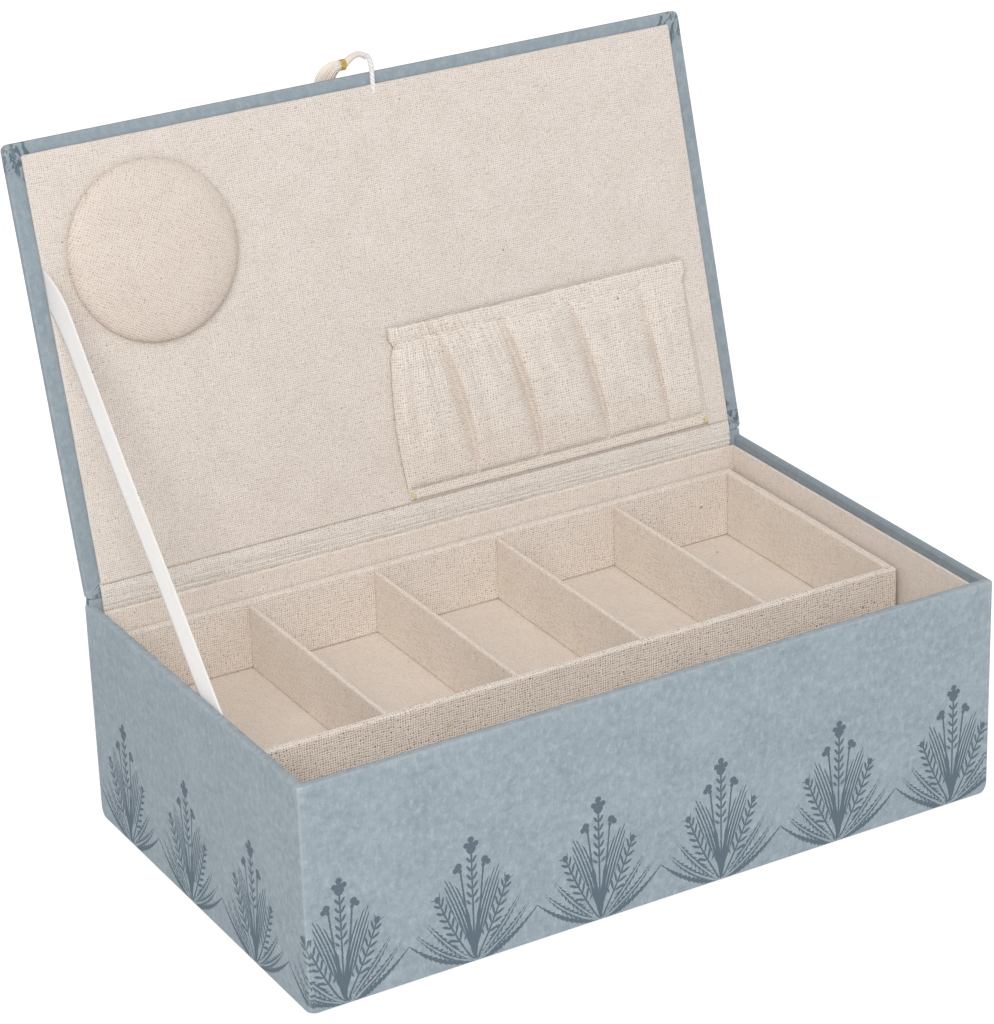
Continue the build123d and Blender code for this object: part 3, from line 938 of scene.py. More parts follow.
def thick(sheet: Array, flat: Array, depth: float) -> tuple[Array, Array, Array]:
    """Give a sheet its thickness and close it.

    The sheet's normals are the cross product of its two sets of differences. The back is the
    front moved against them, and both are drawn together in an extra row at each end.

    Args:
        sheet: rows by columns of points, the front.
        flat: the flat map of the same shape.
        depth: the thickness.
    Returns:
        Points, faces and the flat map of the closed sheet.
    """
    down, across = np.gradient(sheet, axis=0), np.gradient(sheet, axis=1)
    normal = np.cross(across, down)
    normal /= np.linalg.norm(normal, axis=2, keepdims=True) + 1e-12
    back = sheet - normal * depth
    ring = np.concatenate((sheet, back[:, ::-1], sheet[:, :1]), axis=1)
    ring_flat = np.concatenate((flat, flat[:, ::-1], flat[:, :1]), axis=1)
    middle = (sheet + back) / 2
    pinch = np.concatenate((middle, middle[:, ::-1], middle[:, :1]), axis=1)
    ring = np.concatenate((pinch[:1], ring, pinch[-1:]))
    ring_flat = np.concatenate((ring_flat[:1], ring_flat, ring_flat[-1:]))
    return ring.reshape(-1, 3), cells(*ring.shape[:2]), ring_flat.reshape(-1, 2)


def tubes(lines: Array, radii: Array, sides: int, guide: Point) -> tuple[Array, Array, Array]:
    """Carry a circle along many lines at once.

    Each ring stands square to its line, on two directions: the cross product of the line's
    direction and a guide, and the cross product of that and the line's direction. A ring of no
    size closes each end.

    Args:
        lines: lines by points, with x, y and z last.
        radii: a radius for each point of each line.
        sides: how many points a ring has.
        guide: a direction that no line runs along.
    Returns:
        Points, faces and a flat map: round the tube and along it.
    """
    way = np.gradient(lines, axis=1)
    way /= np.linalg.norm(way, axis=2, keepdims=True)
    one = np.cross(way, np.array(guide, float))
    one /= np.linalg.norm(one, axis=2, keepdims=True)
    two = np.cross(way, one)
    lines = np.concatenate((lines[:, :1], lines, lines[:, -1:]), axis=1)
    one, two = (np.concatenate((side[:, :1], side, side[:, -1:]), axis=1) for side in (one, two))
    zero = np.zeros((len(lines), 1))
    radii = np.concatenate((zero, radii, zero), axis=1)
    turn = np.linspace(0, 2 * math.pi, sides + 1)
    ring = one[:, :, None] * np.cos(turn)[:, None] + two[:, :, None] * np.sin(turn)[:, None]
    points = lines[:, :, None] + ring * radii[:, :, None, None]
    runs = np.linalg.norm(np.diff(lines, axis=1), axis=2)
    along = np.concatenate((zero, np.cumsum(runs, axis=1)), axis=1)
    flat = join(turn * radii.max(), along[:, :, None])
    rows = lines.shape[1]
    one_tube = cells(rows, sides + 1)
    faces = (one_tube + np.arange(len(lines))[:, None, None] * rows * (sides + 1)).reshape(-1, 4)
    return points.reshape(-1, 3), faces, flat.reshape(-1, 2)


def eased(controls: ArrayLike, count: int) -> Array:
    """Draw one smooth line near a few points: a Bernstein polynomial with them as its controls."""
    order = len(controls) - 1
    share = np.linspace(0, 1, count)[:, None]
    powers = np.arange(order + 1)
    weights = np.array([math.comb(order, power) for power in powers])
    basis = weights * share ** powers * (1 - share) ** (order - powers)
    return basis @ np.array(controls, float)


def dress(thing: Object, finish: Material) -> Object:
    """Give a piece or a CAD node its one material."""
    thing.data.materials.clear()
    thing.data.materials.append(finish)
    return thing


def settle(thing: Object, finish: Material, nodes: tuple[str, ...],
           body: str | None) -> Object:
    """Dress a piece, hide the CAD nodes that it replaces, log it and let it ride.

    Args:
        thing: the piece.
        finish: its material.
        nodes: the CAD nodes that it replaces.
        body: the body that it rides on, or None where it rides on none.
    Returns:
        The piece.
    """
    dress(thing, finish)
    if nodes:
        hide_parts(*nodes)
    if body:
        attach(thing, body)
    log.info("%s: %d faces, %s", thing.name, len(thing.data.polygons), body or "blended")
    return thing


def wrap(node: str, name: str, edge: float, finish: Material, body: str, swell: float,
         seed: int, step: float = 7.0) -> None:
    """Make a linen-covered card in a CAD node's place, dress it and let it ride.

    Args:
        node: the node that it replaces.
        name: the object's name.
        edge: its edges' radius.
        finish: its linen.
        body: the body that it rides on.
        swell: how uneven it is.
        seed: what sets the unevenness.
        step: the grid's spacing.
    """
    low, high = (tuple(corner / MM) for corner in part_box(node))
    made = card(name, low, high, edge, swell=swell, step=step, seed=seed)
    settle(made, finish, (node,), body)


# Sub-assemblies


@dataclass(frozen=True)
class Finishes:
    """The box's materials, each made once."""

    base_paper: Material
    lid_paper: Material
    plain: Material
    board: Material
    lid_linen: Material
    lining: Material
    tray_linen: Material
    front_wall_shaded_linen: Material
    divider_linen: Material
    floor_linen: Material
    hinge_linen: Material
    pocket_linen: Material
    cushion_linen: Material
    satin: Material
    elastic: Material
    stitch: Material
    cord: Material
    tassel: Material
    gold: Material

    @classmethod
    def make(cls) -> "Finishes":
        """Build every material; dim and deep are the painted shade in the gaps between a linen's threads, deep the
        darker.
        """
        dim, deep = "A08C7A", "80674F"
        plans = dict(
            base_paper=PrintedPaper("base_paper", Border.BOTTOM_EDGE),
            lid_paper=PrintedPaper("lid_paper", Border.LONG_EDGES),
            plain=PlainPaper("plain_blue_paper", "8D9AA2", "A7B2B8"),
            board=PlainPaper("grey_board", "8B8880", "A09D95"),
            lid_linen=Linen("lid_linen", "ECE3DB", "D5CAC0", dim, 0.82, 0.62),
            lining=Linen("lining_linen", "F6ECE3", "E0D5CB", dim, 0.84, 0.68),
            tray_linen=Linen("tray_linen", "F2E9E0", "DBD0C6", deep, 0.9, 0.75),
            # Painted shade: a copy of the tray's linen for its front wall, with darker and stronger gaps because that
            # wall stands in the base's shadow.
            front_wall_shaded_linen=Linen("tray_front_linen_painted_shade", "F8EFE6", "DDD0C3", "6E553E", 1.0, 0.92, relief=0.2),
            divider_linen=Linen("divider_linen", "F4EADF", "DDD0C3", deep, 0.88, 0.6),
            floor_linen=Linen("tray_floor_linen", "F0E5DA", "DED2C6", dim, 0.86, 0.42),
            hinge_linen=Linen("hinge_linen", "F2ECE5", "D9D1C9", dim, 0.82, 0.85, creases=3.0),
            pocket_linen=Linen("pocket_linen", "F2E9E0", "DBD0C6", dim, 1.02, 0.8),
            cushion_linen=Linen("cushion_linen", "E8DCD1", "D5C7BB", dim, 0.9, 0.6, -29.0, Grain.LID_PLANE),
            satin=Satin("satin_ribbon", "FCF9F6", "F1ECE7", 6.9),
            elastic=PlainPaper("elastic_tape", "DEDBD6", "ECEAE6", 0.8),
            stitch=Thread("stitch_thread", "EBDFA4", "D3BF7A", 1.6, 0.8),
            cord=Thread("white_cord", "F1EFED", "CFCBC6", 0.5, 0.42),
            tassel=Thread("tassel_thread", "FBF0E4", "EEDFCD", 0.0, 2.2, 0.42),
            gold=Thread("gold_thread", "E2BF55", "A97A1C", 2.2, 0.1, 0.36, 0.75),
        )
        return cls(**{name: plan.build() for name, plan in plans.items()})


@dataclass(frozen=True)
class Base:
    """The base: boards, printed cover, underside and linen lining."""

    length: float = 300.0
    depth: float = 176.0
    height: float = 92.0
    board: float = 3.2
    paper: float = 0.3
    corner: float = 1.1
    worn_corner: float = 2.7
    worn_height: float = 2.4
    turn_in: float = 12.0
    lining_edge: float = 0.55
    ledge_edge: float = 0.9

    def corner_radius(self, z: Array) -> Array:
        """Give the upright corners' radius: it grows towards the worn bottom as a bell curve."""
        return self.corner + self.worn_corner * np.exp(-((z / self.worn_height) ** 2))

    def cover(self) -> Object:
        """Make the cover paper: one closed profile carried round the box.

        The profile runs from under the bottom up the wall, over the rim and down inside it, and
        back along the paper's inner face. The flat map is the distance round the box and the
        distance up the profile from the bottom edge.
        """
        wall, paper, top = self.board + 2 * self.paper, self.paper, self.height
        corners = [
            (self.turn_in, paper, 0), (5.0, paper, 0), (0, paper, 1.0), (0, 2.2, 0), (0, 3.4, 0), (0, 5.0, 0),
            (0, 8.0, 0), (0, 20.0, 0), (0, 45.0, 0), (0, 70.0, 0), (0, 88.5, 0), (0, top, 0.8), (wall, top, 0.8),
            (wall, 88.5, 0), (wall, top - self.turn_in, 0), (wall - paper, top - self.turn_in, 0),
            (wall - paper, top - paper, 0.4), (paper, top - paper, 0.4), (paper, 8.0, 0), (paper, 4.0, 0),
            (paper, 2 * paper, 0.6), (self.turn_in, 2 * paper, 0), (self.turn_in, paper, 0),
        ]
        profile = rounded(corners)
        inset, z = profile.T
        outline = Loop(self.length / 2, self.depth / 2, self.corner)
        points = outline.raised(inset, self.corner_radius(z), z)
        run = distances(profile)
        run -= run[np.argmin(np.abs(z - 2.2) + inset * 10)] - 2.2 + paper
        flat = join(outline.columns()[2], run[:, None])
        away = outline.corner_gaps()
        upright = np.exp(-((away / 0.6) ** 2))
        rim = np.exp(-(((z - top) / 0.5) ** 2)) * 0.5 * (inset < 1.0)
        foot = np.exp(-(((z - paper) / 0.7) ** 2)) * 0.7 * (inset < 1.2)
        wear = np.maximum(upright[None] * 0.6, np.maximum(rim, foot)[:, None]) * (inset < 4.5)[:, None]
        near_top = np.exp(-(((z - top) / 1.8) ** 2)) * (inset < 2.0)
        wear = np.maximum(wear, 1.3 * near_top[:, None] * np.exp(-((away / 1.6) ** 2))[None])
        return piece("base_cover", points, cells(*points.shape[:2]), flat, wear)

    def bottom(self) -> Object:
        """Make the bottom board with worn corners: a profile carried round and closed at its middle."""
        low, high = 2 * self.paper, 2 * self.paper + self.board
        profile = board_profile(self.depth / 2, low, high, self.paper, 2.0, 10.0)
        outline = Loop(self.length / 2, self.depth / 2, self.corner, 20.0)
        inset, z = profile.T
        points = outline.raised(inset, self.corner_radius(z) + 0.1, z)
        return piece("bottom_board", points, cells(*points.shape[:2]))

    def linings(self, finishes: Finishes) -> None:
        """Make the linen-covered cards and the tray's ledges from the frame's own places."""
        linen = finishes.lining
        for seed, name in enumerate(("floor", "front", "back", "left", "right"), 3):
            wrap(f"base_lining_{name}", f"lining_{name}", self.lining_edge, linen, "base", 0.06, seed)
        for seed, name in enumerate(("left", "right"), 9):
            wrap(f"tray_ledge_{name}", f"ledge_{name}", self.ledge_edge, linen, "base", 0.05, seed, 14.0)

    def build(self, finishes: Finishes) -> None:
        """Make and dress the base."""
        settle(self.cover(), finishes.base_paper, ("base_cover_paper",), "base")
        settle(self.bottom(), finishes.board, ("base_bottom_board",), "base")
        self.linings(finishes)
        for name in ("front", "back", "left", "right"):
            dress(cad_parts[f"base_{name}_board"], finishes.board)
        dress(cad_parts["base_underside_paper"], finishes.plain)


@dataclass(frozen=True)
class Tray:
    """The lift-out tray: floor, walls and dividers, all wrapped in linen."""

    wall_edge: float = 1.0
    divider_edge: float = 0.85
    floor_edge: float = 1.0

    def build(self, finishes: Finishes) -> None:
        """Make and dress the tray from the frame's own places."""
        parts = [("floor", self.floor_edge, finishes.floor_linen)]
        # The front wall takes the copy of the linen with painted shade in its gaps.
        parts += [("front_wall", self.wall_edge, finishes.front_wall_shaded_linen)]
        parts += [("back_wall", self.wall_edge, finishes.tray_linen)]
        parts += [(f"{side}_wall", self.wall_edge, finishes.divider_linen) for side in ("left", "right")]
        parts += [(f"divider_{number}", self.divider_edge, finishes.divider_linen) for number in range(1, 5)]
        for seed, (name, edge, finish) in enumerate(parts, 20):
            wrap(f"tray_{name}", f"tray_{name}_wrapped", edge, finish, "tray", 0.12, seed, 5.0)


@dataclass(frozen=True)
class Lid:
    """The lid: board, printed cover and linen-covered card."""

    length: float = 300.0
    depth: float = 176.0
    board: float = 2.8
    paper: float = 0.3
    corner: float = 2.6
    turn_in: float = 12.0
    lining_low: Point = (-143.7, 5.0, 0.0)
    lining_high: Point = (143.7, 171.2, 1.5)

    def core(self) -> Object:
        """Make the lid's board: an oblong with rounded corners, closed at the middle of both faces."""
        low, high = self.paper - self.board - 2 * self.paper, -self.paper
        profile = board_profile(self.depth / 2, low, high, self.paper, -1.7, 12.0)
        outline = Loop(self.length / 2, self.depth / 2, self.corner, 20.0)
        plan = outline.points(profile[:, 0], self.corner + 0.1)
        points = LID.at(plan[..., 0], plan[..., 1] + self.depth / 2, profile[:, 1][:, None])
        return piece("lid_core", points, cells(*points.shape[:2]))

    def cover(self) -> Object:
        """Make the lid's cover paper.

        The profile runs from the middle of the outer face over the edge to the turn-in, and back
        inside the paper to the middle. The flat map is the place on the outer face, carried on
        outwards round the edge by the distance along the profile.
        """
        full, paper, middle = self.board + 2 * self.paper, self.paper, self.depth / 2
        outer = rounded([
            (middle, -full, 0), (60.0, -full, 0), (30.0, -full, 0), (12.0, -full, 0), (3.0, -full, 0),
            (0, -full, 0.9), (0, 0, 0.8), (2.0, 0, 0), (4.0, 0, 0), (6.0, 0, 0), (self.turn_in, 0, 0),
            (self.turn_in, -paper, 0),
            (paper, -paper, 0.4), (paper, paper - full, 0.4), (12.0, paper - full, 0), (middle, paper - full, 0),
        ])
        inset, out = outer.T
        outline = Loop(self.length / 2, self.depth / 2, self.corner)
        plan = outline.points(inset, self.corner)
        x, s = plan[..., 0], plan[..., 1] + self.depth / 2
        points = LID.at(x, s, out[:, None])
        normals = outline.columns()[1]
        run = distances(outer)
        past = run - (middle - 0.3)
        edge = outline.points(np.zeros(len(inset)), self.corner)
        flat = np.where(
            (past > 0)[:, None, None], edge + normals * past[:, None, None], plan
        ) + np.array((self.length / 2, self.depth / 2))
        away = outline.corner_gaps()
        near_edge = np.exp(-((inset / 0.8) ** 2))
        mitre = 1.3 * np.exp(-((away / 0.6) ** 2))[None] * ((out > -1.0) & (inset < self.turn_in))[:, None]
        wear = np.maximum(near_edge[:, None] * np.maximum(np.exp(-((away / 1.5) ** 2))[None], 0.2), mitre)
        return piece("lid_cover", points, cells(*points.shape[:2]), flat, wear)

    def build(self, finishes: Finishes) -> None:
        """Make and dress the lid."""
        settle(self.cover(), finishes.lid_paper, ("lid_cover_paper",), "lid")
        lining = card("lid_lining_card", self.lining_low, self.lining_high, 0.7, True, 0.1, 6.0, 41)
        settle(lining, finishes.lid_linen, ("lid_lining",), "lid")
        settle(self.core(), finishes.board, ("lid_board",), "lid")


@dataclass(frozen=True)
class Hinge:
    """The cloth hinge inside and the paper hinge outside, both shaped to the open lid."""

    cloth_half: float = 144.0
    paper_half: float = 149.0
    fold_half: float = 149.3
    lid_thick: float = 3.4
    start: Point = (0.0, 0.0838, 0.0912)
    end: Point = (0.0, 0.0848, 0.0972)

    def strip(self, name: str, line: Array, half: float, depth: float, seed: int, ruffle: float,
              grooves: tuple[float, ...] = ()) -> Object:
        """Make a strip: a line carried along the box, with long creases.

        The line is first drawn again at even runs of half a millimetre. A groove is a bell curve
        across the strip, and it strays up and down as it runs along.

        Args:
            name: the object's name.
            line: y and z of the strip's face, in order.
            half: half its length.
            depth: its thickness.
            seed: what sets the creases.
            ruffle: how deep they are.
            grooves: where long creases run, as distances along the line.
        Returns:
            The object.
        """
        x = places(-half, half, 1.0, 3.0)
        coarse = distances(line)
        run = np.linspace(0, coarse[-1], math.ceil(coarse[-1] / 0.5) + 1)
        line = np.stack([np.interp(run, coarse, line[:, axis]) for axis in (0, 1)], axis=1)
        sheet = np.empty((len(line), len(x), 3))
        sheet[..., 0] = x
        sheet[..., 1:] = line[:, None]
        spots = join(x[None] * 0.35, run[:, None] * 2.0)
        tuck = -np.sin(np.linspace(0, math.pi, len(line)))[:, None] * (1.0 + 0.6 * slack(spots, seed, 9.0)) * ruffle
        for number, groove in enumerate(grooves):
            stray = groove + 0.3 * slack(x[:, None], seed + number, 60.0) + 0.12 * slack(x[:, None], seed, 17.0)
            tuck = tuck + 0.38 * np.exp(-(((run[:, None] - stray[None]) / 0.4) ** 2))
        way = np.gradient(line, axis=0)
        way /= np.linalg.norm(way, axis=1, keepdims=True)
        sheet[..., 1] += tuck * way[:, None, 1]
        sheet[..., 2] -= tuck * way[:, None, 0]
        flat = join(x[None], run[:, None])
        return piece(name, *thick(sheet, flat, depth))

    def build(self, finishes: Finishes) -> None:
        """Make and dress the linen strip, the paper's fold behind it and the paper outside."""
        lid, back = LID.section, -self.lid_thick - 0.28
        cloth = np.concatenate((
            eased([(83.75, 87.8), (83.7, 90.0), (83.6, 92.6), lid(-0.4, 0.25) + (0.3, 0.0)], 9),
            [lid(2.5, 0.3), lid(5.6, 0.3)],
        ))
        inner = self.strip("hinge_cloth", cloth, self.cloth_half, 0.35, 5, 0.42, (1.0, 3.4, 4.9, 6.2))
        settle(inner, finishes.hinge_linen, ("hinge_linen_strip",), None)
        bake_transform(inner)
        fold = eased([(84.45, 89.6), (84.45, 91.6), (84.6, 93.2), lid(0.1, -0.7)], 9)
        tucked = self.strip("hinge_inner_fold", fold, self.fold_half, 0.22, 8, 0.1)
        settle(tucked, finishes.plain, ("hinge_outer_paper",), None)
        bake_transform(tucked)
        foot = lid(0.5, -self.lid_thick - 0.25)
        paper = np.concatenate((
            [(88.28, 78.0), (88.28, 84.0), (88.28, 90.5)],
            eased([(88.28, 91.2), (88.35, 92.8), foot - (0.2, 0.9), foot], 7),
            [lid(4.0, back), lid(14.0, back)],
        ))
        outer = self.strip("hinge_paper", paper, self.paper_half, 0.26, 6, 0.05)
        settle(outer, finishes.plain, ("hinge_outer_paper",), None)
        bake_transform(outer)


@dataclass(frozen=True)
class Ribbon:
    """The satin ribbon that stays the lid, from the left wall's rim to behind the lid's lining."""

    width: float = 13.8
    thickness: float = 0.3
    foot_x: float = -146.05
    top_x: float = -143.95
    foot_z: float = 88.5
    top_z: float = 214.0
    free: float = 165.0
    root_x: float = -143.35
    root_s: float = 120.0
    root_width: float = 16.5
    start: Point = (0.0, -0.0187, 0.086)
    end: Point = (0.0, 0.047, 0.153)

    def edges(self) -> tuple[Array, Array]:
        """Give the front and the back edge, each with a soft turn where it runs in to the lid."""
        root_front = LID.section(self.root_s + self.root_width / 2, 0.75)
        root_back = LID.section(self.root_s - self.root_width / 2, 0.75)
        front = rounded([(-28.4, 86.0, 0), (100.6, 216.8, 12.0), (*root_front, 0)], 7)
        back = rounded([(-9.0, 86.0, 0), (99.6, 195.6, 8.0), (*root_back, 0)], 7)
        return front, back

    def build(self, finishes: Finishes) -> None:
        """Make the ribbon as a sheet ruled between its edges and dress it."""
        front, back = self.edges()
        count = 60
        sides = []
        for edge in (front, back):
            run = distances(edge)
            turn = run[-9] / run[-1]
            share = np.concatenate((np.linspace(0, turn, count), np.linspace(turn, 1, 16)[1:]))
            sides.append(np.stack([np.interp(share * run[-1], run, edge[:, axis]) for axis in (0, 1)], axis=1))
        across = np.linspace(0, 1, 9)
        plan = sides[0][:, None] + (sides[1] - sides[0])[:, None] * across[None, :, None]
        sheet = np.empty((*plan.shape[:2], 3))
        sheet[..., 1:] = plan
        rise = (plan[..., 1] - self.foot_z) / (self.top_z - self.foot_z)
        sheet[..., 0] = self.foot_x + (self.top_x - self.foot_x) * rise
        last = np.clip((np.arange(len(plan)) - count + 9) / (len(plan) - count + 8), 0, 1)[:, None] ** 2
        sheet[..., 0] += (self.root_x - sheet[..., 0]) * last
        run = distances(plan[:, 4])
        loose = np.sin(np.clip(run / self.free, 0, 1) * math.pi)[:, None]
        sheet[..., 0] += loose * (0.35 * (across[None] - 0.5) + 0.25 * np.sin(run / 24.0)[:, None])
        flat = join((across[None] - 0.5) * self.width, run[:, None])
        made = piece("satin_ribbon_stay", *thick(sheet, flat, self.thickness))
        settle(made, finishes.satin, ("ribbon_stay",), None)
        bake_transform(made)


@dataclass(frozen=True)
class Pincushion:
    """The round pincushion: a card with a padded linen crown."""

    x: float = -98.7
    s: float = 126.3
    radius: float = 35.1
    card: float = 1.0
    height: float = 8.2
    lining: float = 1.5
    pressure: float = 4.0
    cap: float = 0.9
    tight: float = 3.0
    frames: int = 20

    def crown(self) -> Object:
        """Make the pad's start shape: a profile turned about the cushion's middle.

        The profile leaves the card at its edge and follows a full round crown: the distance from
        the middle is the cosine of a turn to one power, the height its sine to another.
        """
        rise = np.linspace(0, math.pi / 2, 30)
        crown = np.stack((
            self.radius * np.cos(rise) ** 0.62, self.card + (self.height - self.card) * np.sin(rise) ** 0.8
        ), axis=1)
        base = np.stack((np.linspace(0, self.radius - 0.5, 7), np.full(7, self.card)), axis=1)
        profile = np.concatenate((base, crown))
        turn = np.linspace(0, 2 * math.pi, 73)
        x = self.x + profile[:, :1] * np.cos(turn)
        s = self.s + profile[:, :1] * np.sin(turn)
        points = LID.at(x, s, np.broadcast_to(self.lining + profile[:, 1:], x.shape))
        return piece("pincushion_crown", points, cells(*points.shape[:2]))

    def fill(self, pad: Object) -> None:
        """Puff the pad with a short cloth simulation, its seam held.

        The turned mesh is even enough to simulate as it is, which keeps the rim round. Points move
        by at most the cap, those within a millimetre of the card stay, and the movement eases in
        over the first few millimetres above them: three times a share squared less twice its cube.
        """
        scene = bpy.context.scene
        count = len(pad.data.vertices)
        rest = np.empty(count * 3)
        pad.data.vertices.foreach_get("co", rest)
        rest = rest.reshape(-1, 3)
        out = (rest / MM - LID.edge) @ LID.inward - self.lining
        held = pad.vertex_groups.new(name="seam")
        held.add(np.flatnonzero(out < self.card + 1.0).tolist(), 1.0, "REPLACE")
        cloth = pad.modifiers.new("stuffing", "CLOTH")
        cloth.settings.use_pressure = True
        cloth.settings.uniform_pressure_force = self.pressure
        cloth.settings.effector_weights.gravity = 0.0
        cloth.settings.vertex_group_mass = "seam"
        cloth.point_cache.frame_start, cloth.point_cache.frame_end = 1, self.frames
        for number in range(1, self.frames + 1):
            scene.frame_set(number)
        graph = bpy.context.evaluated_depsgraph_get()
        puffed = pad.evaluated_get(graph).data
        moved = np.empty(count * 3)
        puffed.vertices.foreach_get("co", moved)
        step = moved.reshape(-1, 3) - rest
        far = np.linalg.norm(step, axis=1, keepdims=True) + 1e-12
        share = np.clip((out - self.card) / self.tight, 0.0, 1.0)[:, None]
        step *= np.minimum(1.0, self.cap * MM / far) * share * share * (3.0 - 2.0 * share)
        pad.modifiers.clear()
        scene.frame_set(1)
        pad.data.vertices.foreach_set("co", (rest + step).ravel())
        pad.data.update()
        log.info("pincushion: cloth moved %.2f mm at most", float(far.max() / MM))

    def build(self, finishes: Finishes) -> None:
        """Make, fill and dress the pincushion."""
        pad = self.crown()
        self.fill(pad)
        pad.data.shade_smooth()
        soft = pad.modifiers.new("soft", "SUBSURF")
        soft.levels = soft.render_levels = 1
        settle(pad, finishes.cushion_linen, ("pincushion_pad",), "lid")
        dress(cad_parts["pincushion_card"], finishes.cushion_linen)


@dataclass(frozen=True)
class PocketGrid:
    """The pocket's rows and columns.

    Rows have s, the place up the lid, and up, the share of the way from hem to casing. Columns
    have the share of the width, the panel between two folds, and the share of that panel.
    """

    s: Array
    up: Array
    share: Array
    panel: Array
    local: Array


